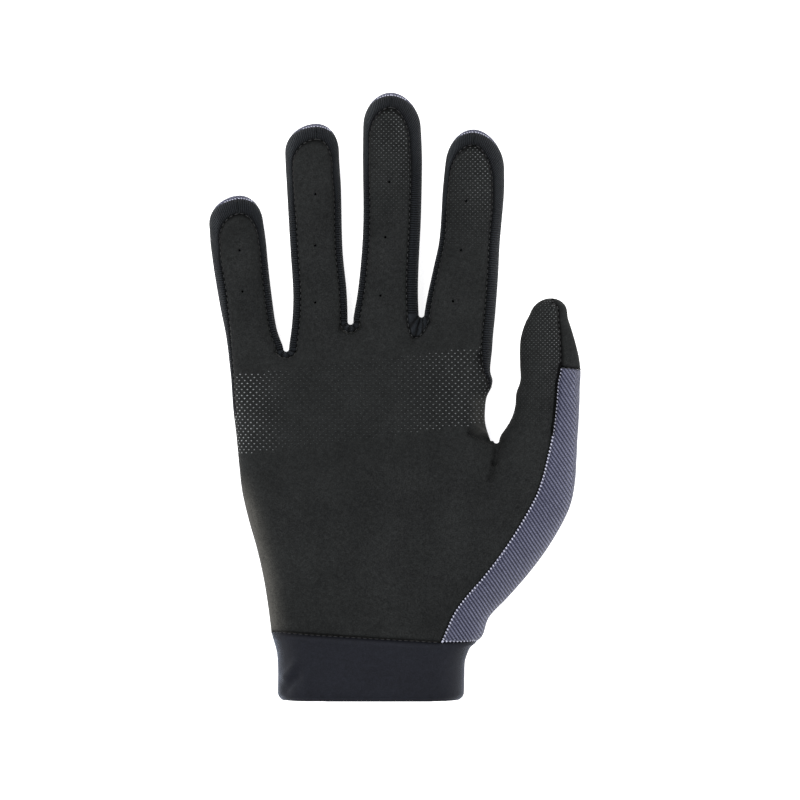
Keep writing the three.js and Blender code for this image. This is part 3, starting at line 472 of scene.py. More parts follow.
def lay_stations():
    """Clockwise from the hem on the little finger side, up, round each finger, and down to the hem."""
    palm, back = PANELS.index("palm_panel"), PANELS.index("back_panel")
    add_cuff(-1, np.arange(CUFF_ROWS, 0, -1) / CUFF_ROWS, SIDE_INSET)
    rows = np.arange(PALM_ROWS)
    t = rows / PALM_ROWS
    strip = np.where(rows < STRIP_START_ROW, palm, PANELS.index(STRIPS[0]))
    add_side(ulnar_point, t, SIDE_INSET * read(ULNAR_SIDE, "seam", t), 1 - smooth(t / LEVEL_SHARE),
             panel=strip, **palm_values(t))
    places, spans, webs = {}, [], []
    for i, finger in enumerate(FINGERS):
        last = i == len(FINGERS) - 1
        corner_insets = {
            -1: finger["left"] if i else SIDE_INSET * ULNAR_SIDE["seam"][-1],
            1: SIDE_INSET * RADIAL_SIDE["seam"][0] if last else finger["right"],
        }
        left = web_end(i - 1, 1) if i else LITTLE_CORNER
        right = INDEX_CORNER if last else web_end(i, -1)
        place, span = add_finger(finger, left, right, STRIPS[i], STRIPS[i + 1], corner_insets)
        places[finger["name"]] = place
        spans.append(span)
        if not last:
            webs.append(add_web(web_centres[i], STRIPS[i + 1], finger["right"], FINGERS[i + 1]["left"],
                                WEBS[i]["inset"], WEBS[i]["lean"], KNUCKLE_THICKNESS, BACK_SEAM))
    rows = np.arange(1, RADIAL_ROWS + 1)
    t = rows / RADIAL_ROWS
    radial = add_side(
        radial_point, t, SIDE_INSET * read(RADIAL_SIDE, "seam", t), 0,
        thick=lerp(KNUCKLE_THICKNESS, THUMB_THICKNESS, smooth(t)), edge=KNUCKLE_EDGE, lift=0,
        seam=lerp(BACK_SEAM, PALM_BACK_SEAM, smooth(t)),
        panel=np.where(rows < STRIP_END_ROW, PANELS.index(STRIPS[-1]), palm),
    )
    crotch = add_web(web_centres[-1], "palm_panel", SIDE_INSET, SIDE_INSET, SIDE_INSET, 1,
                     THUMB_THICKNESS, PALM_BACK_SEAM)
    places["thumb"], thumb = add_finger(THUMB, web_end(len(WEBS), 1), THUMB_CORNER, "palm_panel",
                                        "thumb_back_patch", {-1: SIDE_INSET, 1: WRAP_INSET})
    t = np.arange(1, PALM_ROWS + 1) / PALM_ROWS
    values = palm_values(1 - t)
    values["thick"] = lerp(THUMB_THICKNESS, values["thick"], smooth(t * 2))
    panel = np.full(PALM_ROWS, back)
    panel[-1] = PANELS.index("cuff")
    add_side(thenar_point, t, WRAP_INSET * read(THENAR_SIDE, "seam", 1 - t),
             1 - smooth((1 - t) / LEVEL_SHARE), panel=panel, **values)
    t = np.arange(1, CUFF_ROWS + 1) / CUFF_ROWS
    add_cuff(1, t, lerp(WRAP_INSET * THENAR_SIDE["seam"][0], CUFF_FRONT_INSET, t))
    return places, spans + [thumb], webs, radial, crotch


finger_places, finger_spans, web_spans, radial_span, crotch_span = lay_stations()
table = np.concatenate(stations)
OUTLINE, FRONT, BACK = table[:, 0:2], table[:, 2:4], table[:, 4:6]
VALUES = table[:, 6:9]  # thickness, rounded edge, lift
SEAM_PLACE, PANEL, PATCH = table[:, 9], table[:, 10].astype(int), table[:, 11] > 0


# ---- The skin over the outline ----

def distance_to_legs(points, starts, ends):
    """Distance from each point to the nearest of the legs."""
    legs = ends - starts
    lengths = np.maximum((legs ** 2).sum(axis=1), 1e-12)
    best = np.empty(len(points))
    chunk = 2000
    for i in range(0, len(points), chunk):
        reach = points[i:i + chunk, None] - starts[None]
        t = np.clip((reach * legs).sum(axis=2) / lengths, 0, 1)
        best[i:i + chunk] = np.sqrt(((reach - legs * t[..., None]) ** 2).sum(axis=2).min(axis=1))
    return best


def mound_rise(x, y):
    rise = 0
    for m in MOUNDS:
        off = ((x / PALM_WIDTH - m["x"]) / m["rx"]) ** 2
        off = off + (((y - SEAM_MIDDLE) / PALM_LENGTH - m["y"]) / m["ry"]) ** 2
        rise = rise + m["rise"] * PALM_THICKNESS * np.exp(-off)
    return rise


def fold_drop(points):
    drop = 0
    for fold in FOLDS:
        run = plan(fold["dx"], fold["dy"]) * PALM_WIDTH
        reach = points - CROTCH
        t = np.clip(reach @ run / (run @ run), 0, 1)
        off = np.linalg.norm(reach - run * t[:, None], axis=1) / (fold["wide"] * PALM_WIDTH)
        drop = drop + fold["depth"] * PALM_THICKNESS * (1 - t) * np.exp(-off * off)
    return drop


def skin_height(points, side, values):
    """Height over the surface for plan points; side is 1 on top and -1 underneath."""
    flat, side = points.reshape(-1, 2), np.broadcast_to(side, points.shape[:-1]).reshape(-1)
    thick, edge, lift = values.reshape(-1, 3).T
    distance = distance_to_legs(flat, OUTLINE[:-1], OUTLINE[1:])
    rim = np.where(side > 0, edge, edge * FLAT_EDGE_SHARE)
    power = np.where(side > 0, TOP_POWER, 2)
    near = np.clip(distance / rim, 0, 1)
    rise = (1 - (1 - near) ** power) ** (1 / power)
    middle = thick * MID_SHARE
    top = thick + (mound_rise(*flat.T) - fold_drop(flat)) * near
    height = np.where(side > 0, lift + middle + (top - middle) * rise, lift + middle - middle * rise)
    return height.reshape(points.shape[:-1])


skin = bmesh.new()


def mesh_of(bm, name):
    """A mesh with the bmesh's shape, which is then freed."""
    mesh = bpy.data.meshes.new(name)
    bm.to_mesh(mesh)
    bm.free()
    return mesh


def lay_patch(panel, points, cloth):
    """Lays a grid of cloth: points and cloth are its places in space and along the weave, row by row."""
    rows, columns = points.shape[:2]
    grid = bmesh.new()
    bmesh.ops.create_grid(grid, x_segments=columns - 1, y_segments=rows - 1, size=1)
    mesh = mesh_of(grid, "patch")
    mesh.vertices.foreach_set("co", points.reshape(-1))
    corners = np.empty(len(mesh.loops), int)
    mesh.loops.foreach_get("vertex_index", corners)
    weave = mesh.uv_layers.new(name="cloth")
    weave.data.foreach_set("uv", (cloth.reshape(-1, 2)[corners] * MM).reshape(-1))
    mesh.polygons.foreach_set("material_index", np.full(len(mesh.polygons), PANELS.index(panel)))
    skin.from_mesh(mesh)
    bpy.data.meshes.remove(mesh)


def arc_lengths(points, axis):
    steps = np.linalg.norm(np.diff(points, axis=axis), axis=-1)
    zero = np.zeros_like(np.take(steps, [0], axis=axis))
    return np.cumsum(np.concatenate([zero, steps], axis=axis), axis=axis)


def lay_sides():
    """The side strips, from the front sheet's edge round to the back sheet's."""
    front = lerp(1, SEAM_PLACE[:, None], np.arange(FRONT_CELLS + 1) / FRONT_CELLS)
    back = lerp(SEAM_PLACE[:, None], -1, np.arange(1, BACK_CELLS + 1) / BACK_CELLS)
    place = np.concatenate([front, back], axis=1)
    reach = 1 - np.cos(np.abs(place) * math.pi / 2)
    side = np.where(place > 0, 1, -1)
    target = np.where(place[..., None] > 0, FRONT[:, None], BACK[:, None])
    points = lerp(OUTLINE[:, None], target, reach[..., None])
    values = np.broadcast_to(VALUES[:, None], (*place.shape, 3))
    solid = np.concatenate([points, skin_height(points, side, values)[..., None]], axis=2)
    round_it = arc_lengths(solid, 1)
    along = arc_lengths(np.concatenate([OUTLINE, VALUES[:, 2:]], axis=1), 0)
    strip_cloth = np.stack([np.broadcast_to(along[:, None], place.shape), round_it], axis=-1)
    outward = unit(OUTLINE - BACK)
    from_back = round_it[:, -1:] - round_it
    back_cloth = BACK[:, None] + outward[:, None] * from_back[..., None]
    from_front = FRONT[:, None] - unit(FRONT - OUTLINE)[:, None] * round_it[..., None]
    front_of, back_of = PANEL[:-1], np.where(PATCH[:-1], 2, 1)
    cuff = PANELS.index("cuff")
    back_of = np.where(front_of == cuff, cuff, back_of)
    for of, low, high in ((front_of, 0, FRONT_CELLS), (back_of, FRONT_CELLS, FRONT_CELLS + BACK_CELLS)):
        breaks = np.flatnonzero(np.diff(of)) + 1
        for a, b in zip([0, *breaks], [*breaks, len(of)]):
            name = PANELS[of[a]]
            cloth = strip_cloth if name in STRIPS else back_cloth
            if name in ("palm_panel", "cuff") and low == 0:
                cloth = from_front
            part = (slice(a, b + 1), slice(low, high + 1))
            lay_patch(name, solid[part].swapaxes(0, 1), cloth[part].swapaxes(0, 1))


def relaxed(grid, rounds):
    """Evens out a grid's inner points, so that no cell folds over. Its rim stays."""
    grid = grid.copy()
    for _ in range(rounds):
        east, west, north, south = grid[1:-1, 2:], grid[1:-1, :-2], grid[2:, 1:-1], grid[:-2, 1:-1]
        over, up = (east - west)[..., :2] / 2, (north - south)[..., :2] / 2
        a, c = (up ** 2).sum(axis=-1, keepdims=True), (over ** 2).sum(axis=-1, keepdims=True)
        b = (over * up).sum(axis=-1, keepdims=True)
        cross = (grid[2:, 2:] - grid[2:, :-2] - grid[:-2, 2:] + grid[:-2, :-2]) / 4
        grid[1:-1, 1:-1] = (a * (east + west) + c * (north + south) - 2 * b * cross) / (2 * (a + c))
    return grid


def finger_grid(edge, first, last):
    """A finger's part of a sheet. Its first row is its base, and its last the middle of the tip's arc."""
    rows = np.arange(FINGER_ROWS + TIP_CORNER + 1)
    left, right = edge[first + rows], edge[last - rows]
    columns = (1 - np.cos(np.linspace(0, math.pi, FINGER_COLUMNS + 1))) / 2
    grid = lerp(left[:, None], right[:, None], columns[None, :, None])
    start = FINGER_ROWS - TIP_BLEND_ROWS
    near = smooth((rows - start) / (rows[-1] - start))
    tip = edge[first + rows[-1]:last - rows[-1] + 1]
    grid = grid + near[:, None, None] * (tip - grid[-1])[None]
    grid[start:] = relaxed(grid[start:], TIP_ROUNDS)
    return grid, columns


def lay_sheet(side):
    """The front or back sheet: a patch for each finger, and one for the palm and cuff."""
    edge = np.concatenate([FRONT if side > 0 else BACK, VALUES], axis=1)
    panel = "palm_panel" if side > 0 else "back_panel"

    def lay(name, patch):
        if side < 0:
            patch = patch[:, ::-1]
        height = skin_height(patch[..., :2], side, patch[..., 2:])
        lay_patch(name, np.concatenate([patch[..., :2], height[..., None]], axis=2), patch[..., :2])

    top, weights = [], []
    for i, (first, last) in enumerate(finger_spans):
        patch, columns = finger_grid(edge, first, last)
        if side < 0 and i == len(FINGERS):
            lay(panel, patch[:PATCH_ROW + 1])
            lay("thumb_back_patch", patch[PATCH_ROW:])
        else:
            lay(panel, patch)
        wide = np.linalg.norm(patch[0, -1, :2] - patch[0, 0, :2])
        top.append(patch[0])
        weights += [1 if i else 0] + list(np.diff(columns) * wide)
        between = [web_spans[i]] if i < len(WEBS) else []
        if i == len(WEBS):
            between = [(radial_span[0], radial_span[1] - 1), (radial_span[1], radial_span[1]), crotch_span]
        for low, high in between:
            top.append(edge[low:high + 1])
            weight = RADIAL_WEIGHT if low == radial_span[0] else WEB_WEIGHT
            if low == high:
                weight = RADIAL_WEIGHT / RADIAL_ROWS
            weights += [weight / (high - low + 1)] * (high - low + 1)
    top = np.concatenate(top)
    c = (np.cumsum(weights) / sum(weights))[None, :, None]
    c = (c - c[:, :1]) / (c[:, -1:] - c[:, :1])
    rows = np.arange(CUFF_ROWS + PALM_ROWS + 1)
    left, right = edge[rows][:, None], edge[len(edge) - 1 - rows][:, None]
    cuff_rows = lerp(left[:CUFF_ROWS + 1], right[:CUFF_ROWS + 1], c)
    level = (np.arange(PALM_ROWS + 1) / PALM_ROWS)[:, None, None]
    left, right = left[CUFF_ROWS:], right[CUFF_ROWS:]
    left[-1], right[-1] = top[0], top[-1]
    height = level ** (1 + ROW_BIAS * np.sin(math.pi * c * c) ** 2)
    palm_rows = lerp(lerp(left[:1], right[:1], c), top[None], height)
    palm_rows = palm_rows + (left - lerp(left[:1], top[:1], level)) * (1 - c) ** 2
    palm_rows = palm_rows + (right - lerp(right[:1], top[-1:], level)) * c ** 3
    lay("cuff", cuff_rows)
    lay(panel, relaxed(palm_rows, PALM_ROUNDS))


lay_sides()
lay_sheet(1)
lay_sheet(-1)
bmesh.ops.remove_doubles(skin, verts=skin.verts, dist=0.002)

# Where small folds lie, the mesh is twice as fine: centre and reach
FINE_SPOTS = [((44, 104), 10), ((48, 94), 9), ((18, 146), 7), ((47, 126), 5), ((-33, 8), 8), ((42, 23), 7)]


def make_finer():
    middles = np.array([(e.verts[0].co + e.verts[1].co) / 2 for e in skin.edges])
    near = np.zeros(len(middles), bool)
    for centre, reach in FINE_SPOTS:
        near |= (np.linalg.norm(middles[:, :2] - centre, axis=1) < reach) & (middles[:, 2] > 3)
    edges = [e for e, fine in zip(skin.edges, near) if fine]
    bmesh.ops.subdivide_edges(skin, edges=edges, cuts=1, use_grid_fill=True)


make_finer()
# The seam mask holds painted shade in the seams' grooves, darkest at the seam
skin.verts.layers.float.new("seam")
# The next mask holds a painted sheen band along the palm's suede edge
skin.verts.layers.float.new("edge_sheen")
skin.normal_update()


# ---- Relief: sewn grooves, crotch folds and the lie of the cloth ----

SEAM_DEPTH = 0.75
SEAM_SPREAD = 0.75
# A painted sheen band: the palm's suede is painted lighter near its outer edge and beside the thumb gap, where
# light catches it
EDGE_SHEEN_REACH = 4.2
EDGE_SHEEN_SIDE = (25, 92)  # from and to this height, on the outer side
EDGE_SHEEN_GAP = dict(x=45, reach=6, y=(103, 122), share=0.4)  # beside the thumb gap
SEAM_SHADE = 0.6  # how far the painted shade in a seam's groove reaches
WELT_RISE = 0.16
WELT_AT = 1.7
WELT_SPREAD = 0.7
CUFF_SEAM_DEPTH = 1.1
SLACK = 0.32  # how far the palm and back wander in and out
SLACK_LENGTH = 24

# Fine creases: ends in the row's frame, half width, and depth, which is negative for a ridge
CREASES = [
    dict(name="web_ridge", start=(38.5, 109), end=(47, 102.5), wide=1.2, depth=-1.3),
    dict(name="web_groove", start=(38.8, 105.2), end=(48.4, 101.6), wide=1.1, depth=1.7),
    dict(name="mound_crease_upper", start=(49.6, 99.2), end=(48.4, 93.8), wide=1.0, depth=1.8),
    dict(name="mound_crease_lower", start=(48.4, 93.8), end=(46.6, 87), wide=1.1, depth=1.4),
    dict(name="index_web_fold", start=(19.6, 150.5), end=(16.2, 141.5), wide=1.2, depth=1.2),
    dict(name="heel_wave", start=(-30, 34), end=(8, 30), wide=5, depth=0.35),
    dict(name="cuff_ridge", start=(-33.6, 9.6), end=(-29.6, 14.8), wide=1.6, depth=-0.8),
    dict(name="cuff_groove", start=(-33.4, 4.6), end=(-28.6, 9.8), wide=1.5, depth=0.9),
]

# Soft bulges: centre in the outline's frame, reach along x and y, and how far out, negative for a tuck
BULGES = [
    dict(name="twill_over_cuff", at=(43.5, 27.5), reach=(8, 4.5), out=0.9),
    dict(name="cuff_under_twill", at=(42, 19.9), reach=(6, 2.6), out=-1.5),
    dict(name="twill_corner", at=(43, 23.2), reach=(3, 1.5), out=-0.7),
    dict(name="strip_knob", at=(47.2, 126), reach=(2.6, 2.2), out=0.6),
]
CREASE_CLEAR = 1.6  # creases fade this near the outline, and slack cloth this near
SLACK_CLEAR = 8
UP_FACING = 0.1
OFF_GROUND = 0.4
HEM_ROUND = 1.1
HEM_REACH = 2.6
LEVEL_AT = 0.5  # seams fade where the cloth stands steeper than this


def positions(bm):
    return np.array([v.co for v in bm.verts])


def seam_edges():
    """The skin's edges between two panels, by the pair."""
    found = {}
    for edge in skin.edges:
        pair = frozenset(f.material_index for f in edge.link_faces)
        if len(pair) == 2:
            found.setdefault(pair, []).append(edge)
    return found


SEAM_EDGES = seam_edges()


def edge_legs(edges):
    """The two ends of each edge, in two arrays."""
    return np.array([e.verts[0].co for e in edges]), np.array([e.verts[1].co for e in edges])


def seam_legs():
    """The ends of each leg of the seams, and the depth of its groove."""
    cuff = PANELS.index("cuff")
    depths = [CUFF_SEAM_DEPTH if cuff in pair else SEAM_DEPTH for pair, edges in SEAM_EDGES.items() for _ in edges]
    return *edge_legs([e for edges in SEAM_EDGES.values() for e in edges]), np.array(depths)


def relief(points, normals, starts, ends, depths):
    """How far each point sinks along its normal, and two masks up to 1: the painted shade in a seam's groove, and
    the painted sheen along the palm's edge.
    """
    sink, nearest = np.zeros(len(points)), np.full(len(points), np.inf)
    steep = smooth(np.abs(normals[:, 2]) / LEVEL_AT)
    for depth in np.unique(depths):
        of = depths == depth
        away = distance_to_legs(points, starts[of], ends[of])
        nearest = np.minimum(nearest, away)
        sink = np.maximum(sink, steep * depth * np.exp(-(away / SEAM_SPREAD) ** 2))
        sink = sink - steep * WELT_RISE * np.exp(-((away - WELT_AT) / WELT_SPREAD) ** 2)
    for bulge in BULGES:
        off = (points[:, :2] - bulge["at"]) / bulge["reach"]
        sink = sink - bulge["out"] * np.exp(-(off ** 2).sum(axis=1))
    sink = sink + HEM_ROUND * np.clip(1 - points[:, 1] / HEM_REACH, 0, 1) ** 2
    from_outline = distance_to_legs(points[:, :2], OUTLINE[:-1], OUTLINE[1:])
    for crease in CREASES:
        start, run = np.array(crease["start"]), np.array(crease["end"]) - np.array(crease["start"])
        reach = points[:, :2] - start
        t = np.clip(reach @ run / (run @ run), 0, 1)
        off = np.linalg.norm(reach - run * t[:, None], axis=1) / crease["wide"]
        inside = (normals[:, 2] > UP_FACING) * smooth(from_outline / CREASE_CLEAR)
        sink = sink + crease["depth"] * np.exp(-off * off) * inside
    wander = np.array([noise.noise(Vector(p) / SLACK_LENGTH) for p in points])
    fade = smooth(from_outline / SLACK_CLEAR)
    sink = sink + SLACK * wander * fade * (points[:, 2] > OFF_GROUND)
    return sink, np.exp(-(nearest / SEAM_SHADE) ** 2), painted_edge_sheen(points, from_outline)


def painted_edge_sheen(points, from_outline):
    """1 where the palm's suede gets a painted sheen near its edge: down its outer side, and beside the thumb gap.
    """
    x, y = points[:, 0], points[:, 1]
    edge = np.exp(-(from_outline / EDGE_SHEEN_REACH) ** 2)
    side = (x < 0) * between(y, *EDGE_SHEEN_SIDE, 4, 18)
    at_gap = np.abs(x - EDGE_SHEEN_GAP["x"]) < EDGE_SHEEN_GAP["reach"]
    gap = EDGE_SHEEN_GAP["share"] * at_gap * between(y, *EDGE_SHEEN_GAP["y"], 3, 4)
    return edge * np.maximum(side, gap)


skin_normals = np.array([v.normal for v in skin.verts])
seam_starts, seam_ends, seam_depths = seam_legs()
skin_points = positions(skin)
sink, painted_seam_shade, edge_sheen_at = relief(skin_points, skin_normals, seam_starts, seam_ends, seam_depths)
sunk = skin_points - skin_normals * sink[:, None]
sunk[:, 2] = np.maximum(sunk[:, 2], 0)
# The painted shade of the seams' grooves and the painted sheen along the palm's edge go into the vertices' masks
seam_shade_layer, edge_sheen_layer = skin.verts.layers.float["seam"], skin.verts.layers.float["edge_sheen"]
for vert, co, groove_shade, edge_sheen in zip(skin.verts, sunk, painted_seam_shade, edge_sheen_at):
    vert.co = co
    vert[seam_shade_layer] = groove_shade
    vert[edge_sheen_layer] = edge_sheen
skin.normal_update()


# ---- Panels ----

EDGE_PULL = 0.1
SIDE_PULL = 0.02
VENT_SIDES = 12
VENT_LOOK = 4
VENT_CLEAR = 0.75
PIECES = {
    "palm_panel": ("suede_palm", "suede", SUEDE_WALL),
    "back_panel": ("twill_back", "twill", TWILL_WALL),
    "thumb_back_patch": ("suede_thumb_patch", "suede", SUEDE_WALL),
    **{strip: ("knit_" + strip.rsplit("_", 1)[0], "rib_knit", RIB_WALL) for strip in STRIPS},
    "cuff": ("cuff_band", "stretch_cuff", CUFF_WALL),
}
to_row = Matrix.Translation((0, -REST_POINT * MM, 0)) @ Matrix.Scale(MM, 4)


def placed(name, data):
    """A new object in the scene that holds the data."""
    made = bpy.data.objects.new(name, data)
    bpy.context.scene.collection.objects.link(made)
    return made


def finished(bm, name, material, slot):
    """Makes a piece of a bmesh in the outline's millimetres, rides it on the part and gives it the material. Its
    slot is not used.
    """
    bmesh.ops.transform(bm, matrix=to_row, verts=bm.verts)
    mesh = mesh_of(bm, name)
    for polygon in mesh.polygons:
        polygon.use_smooth = True
        polygon.material_index = 0
    mesh.materials.append(material)
    piece = placed(name, mesh)
    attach(piece, "root")
    return piece


def cut_vents(panel):
    """Cuts the small round vent holes through the fingers' fronts."""
    top = [f for f in panel.faces if f.normal.z > 0.3]
    middles = np.array([f.calc_center_median() for f in top])
    vents = []
    for name, along, across in VENTS:
        place = finger_places[name]
        centre = place.at(along * place.finger["length"], across * place.finger["width"])
        near = np.flatnonzero(np.linalg.norm(middles[:, :2] - centre, axis=1) < VENT_LOOK)
        cut = []
        for face in (top[i] for i in near):
            corners = np.array([v.co for v in face.verts])[:, :2] - centre
            if (corners.min(axis=0) < VENT_CLEAR).all() and (corners.max(axis=0) > -VENT_CLEAR).all():
                cut.append(face)
        rim = [e for e in {e for f in cut for e in f.edges} if sum(f in cut for f in e.link_faces) == 1]
        height = np.mean([v.co.z for f in cut for v in f.verts])
        normal = sum((f.normal for f in cut), Vector()).normalized()
        vents.append((cut, rim, Vector((*centre, height)), normal))
    bmesh.ops.delete(panel, geom=[f for cut, *_ in vents for f in cut], context="FACES")
    for _, rim, middle, normal in vents:
        matrix = Matrix.Translation(middle) @ normal.to_track_quat("Z", "Y").to_matrix().to_4x4()
        ring = bmesh.ops.create_circle(panel, segments=VENT_SIDES, radius=VENT_RADIUS, matrix=matrix)["verts"]
        ring_edges = list({e for v in ring for e in v.link_edges})
        for face in bmesh.ops.bridge_loops(panel, edges=rim + ring_edges)["faces"]:
            face.normal_update()
            if face.normal.z < 0:
                face.normal_flip()


def skin_of(node):
    """A copy of the skin with one panel left."""
    number = PANELS.index(node)
    panel = skin.copy()
    bmesh.ops.delete(panel, geom=[f for f in panel.faces if f.material_index != number], context="FACES")
    return panel


def cut_panel(node):
    """One panel of the skin, with its edge drawn in by the pull."""
    panel = skin_of(node)
    pulls = {}
    for edge in panel.edges:
        if len(edge.link_faces) == 1:
            middle = edge.link_faces[0].calc_center_median()
            along = (edge.verts[1].co - edge.verts[0].co).normalized()
            into = middle - edge.verts[0].co
            into = (into - along * into.dot(along)).normalized()
            for vert in edge.verts:
                if vert.co.y > 0.01:
                    pulls[vert] = pulls.get(vert, Vector()) + into
    for vert, pull in pulls.items():
        vert.co += pull.normalized() * (EDGE_PULL if vert.normal.z > 0.3 else SIDE_PULL)
    if node == "palm_panel":
        cut_vents(panel)
    return panel


# ---- Finishes ----

def feed(tree, made, inputs):
    """Sets each input of a shader node to its value, or joins it to the socket that feeds it."""
    for key, value in inputs.items():
        if isinstance(value, bpy.types.NodeSocket):
            tree.links.new(value, made.inputs[key])
        else:
            made.inputs[key].default_value = value


def node(tree, kind, inputs=None, **settings):
    made = tree.nodes.new("ShaderNode" + kind)
    for key, value in settings.items():
        setattr(made, key, value)
    feed(tree, made, inputs or {})
    return made


def math_of(tree, operation, *terms):
    """One Math node, as a socket."""
    return node(tree, "Math", dict(enumerate(terms)), operation=operation).outputs[0]


def times(tree, product, *factors):
    for factor in factors:
        product = math_of(tree, "MULTIPLY", product, factor)
    return product


def plus(tree, a, b):
    return math_of(tree, "ADD", a, b)


def wave_of(tree, turns):
    """A wave from 0 to 1 and back, once for each whole turn."""
    return math_of(tree, "ABSOLUTE", math_of(tree, "SINE", times(tree, turns, math.pi)))


def clouds(tree, place, scale, detail, roughness=0.5):
    inputs = {"Vector": place, "Scale": scale, "Detail": detail, "Roughness": roughness}
    return node(tree, "TexNoise", inputs).outputs


def spread(tree, value, low, high, least, most):
    """Stretches the run from low to high to the run from least to most."""
    return node(tree, "MapRange", {0: value, 1: low, 2: high, 3: least, 4: most}).outputs[0]


def new_group(name, inputs, outputs):
    """An empty node group with named float inputs and outputs, and a vector where the input is None."""
    group = bpy.data.node_groups.new(name, "ShaderNodeTree")
    for socket, default in inputs.items():
        kind = "NodeSocketVector" if default is None else "NodeSocketFloat"
        made = group.interface.new_socket(socket, in_out="INPUT", socket_type=kind)
        if default is not None:
            made.default_value = default
    for socket in outputs:
        group.interface.new_socket(socket, in_out="OUTPUT", socket_type="NodeSocketFloat")
    return group, group.nodes.new("NodeGroupInput").outputs, group.nodes.new("NodeGroupOutput").inputs


def nap_group():
    """Brushed fibres: Shade is around 1, Height is in metres."""
    group, given, result = new_group(
        "fibre_nap", {"Place": None, "Fibre": 2600.0, "Depth": 0.00006}, ("Shade", "Height"),
    )
    place, fibre = given["Place"], given["Fibre"]
    fine = clouds(group, place, fibre, 3.0, 0.7)[0]
    tuft = clouds(group, place, times(group, fibre, 0.32), 2.0, 0.6)[0]
    brushed = clouds(group, place, 55.0, 3.0, 0.55)[0]
    speckle = spread(group, fine, 0.3, 0.72, 0.45, 1.6)
    broad = spread(group, brushed, 0.3, 0.7, 0.84, 1.16)
    tufted = spread(group, tuft, 0.3, 0.7, 0.8, 1.2)
    group.links.new(times(group, speckle, broad, tufted), result["Shade"])
    group.links.new(times(group, plus(group, fine, tuft), given["Depth"]), result["Height"])
    return group


def rib_group():
    """Ribs of yarn at a slant across the cloth, each beaded along its length."""
    group, given, result = new_group(
        "yarn_ribs",
        {"Weave": None, "Slant": 0.0, "Pitch": 0.001, "Stitch": 0.001, "Round": 0.8, "Beading": 0.3,
         "Sway": 0.0009, "Depth": 0.0001},
        ("Crest", "Bead", "Height"),
    )
    wander = clouds(group, given["Weave"], 90.0, 2.0)[1]
    sway = node(group, "VectorMath", {0: wander, 3: given["Sway"]}, operation="SCALE").outputs[0]
    woven = node(group, "VectorMath", {0: given["Weave"], 1: sway}, operation="ADD").outputs[0]
    turned = node(group, "VectorRotate", {"Vector": woven, "Angle": given["Slant"]}, rotation_type="Z_AXIS")
    over, along = node(group, "SeparateXYZ", {0: turned.outputs[0]}).outputs[:2]
    rib = math_of(group, "DIVIDE", over, given["Pitch"])
    crest = math_of(group, "POWER", wave_of(group, rib), given["Round"])
    odd = times(group, math_of(group, "FLOOR", rib), 0.5)
    bead = wave_of(group, plus(group, math_of(group, "DIVIDE", along, given["Stitch"]), odd))
    group.links.new(crest, result["Crest"])
    group.links.new(bead, result["Bead"])
    beaded = times(group, bead, given["Beading"], crest)
    group.links.new(times(group, plus(group, crest, beaded), given["Depth"]), result["Height"])
    return group


NAP, RIBS = nap_group(), rib_group()


def use_group(tree, group, **inputs):
    made = tree.nodes.new("ShaderNodeGroup")
    made.node_tree = group
    feed(tree, made, inputs)
    return made.outputs


def place_on(tree):
    return node(tree, "TexCoord").outputs["Object"]


def nap_on(tree, fibre, depth):
    return use_group(tree, NAP, Place=place_on(tree), Fibre=fibre, Depth=depth)


def new_finish(name, **sockets):
    """A material with its plain values on the shader's own sockets."""
    material = bpy.data.materials.new(name)
    material.use_nodes = True
    shader = material.node_tree.nodes["Principled BSDF"]
    for key, value in sockets.items():
        shader.inputs[key.replace("_", " ")].default_value = value
    return material, material.node_tree, shader


def shade_between(tree, dark, light, amount):
    return node(tree, "Mix", {0: amount, 6: (*dark, 1), 7: (*light, 1)}, data_type="RGBA").outputs[2]


def paint(tree, shader, dark, light, amount):
    tree.links.new(shade_between(tree, dark, light, amount), shader.inputs["Base Color"])


def raise_bump(tree, shader, height):
    bump = node(tree, "Bump", {"Height": height, "Distance": 1.0, "Strength": 1.0})
    tree.links.new(bump.outputs[0], shader.inputs["Normal"])


def mask(tree, name):
    """A mask that the piece's own vertices carry."""
    return node(tree, "Attribute", attribute_name=name).outputs["Fac"]


def outside_seam_shade(tree):
    """1 on the open cloth, falling towards 0 in a seam's groove, where it darkens the colour as painted shade."""
    return math_of(tree, "SUBTRACT", 1.0, times(tree, mask(tree, "seam"), 0.9))


# The painted sheen's colour, a warm light grey
EDGE_SHEEN_COLOUR = (0.056, 0.0545, 0.050)


def suede_finish():
    material, tree, shader = new_finish(
        "palm_suede", Roughness=0.95, Specular_IOR_Level=0.05, Sheen_Roughness=0.22,
        Sheen_Tint=(1.0, 0.97, 0.93, 1.0),
    )
    nap = nap_on(tree, 2100.0, 0.00014)
    # Painted shade: clear falls in the seams' grooves, where it darkens the suede's colour and dims its sheen
    clear = outside_seam_shade(tree)
    tree.links.new(times(tree, clear, 0.1), shader.inputs["Sheen Weight"])
    amount = times(tree, nap["Shade"], times(tree, clear, 0.5))
    cloth = shade_between(tree, (0.0006, 0.0007, 0.0008), (0.0238, 0.0252, 0.0254), amount)
    # Painted sheen: in the edge band the suede turns to the sheen's lighter colour
    lift = times(tree, mask(tree, "edge_sheen"), nap["Shade"], clear)
    with_edge_sheen = node(tree, "Mix", {0: lift, 6: cloth, 7: (*EDGE_SHEEN_COLOUR, 1)}, data_type="RGBA").outputs[2]
    tree.links.new(with_edge_sheen, shader.inputs["Base Color"])
    raise_bump(tree, shader, nap["Height"])
    return material


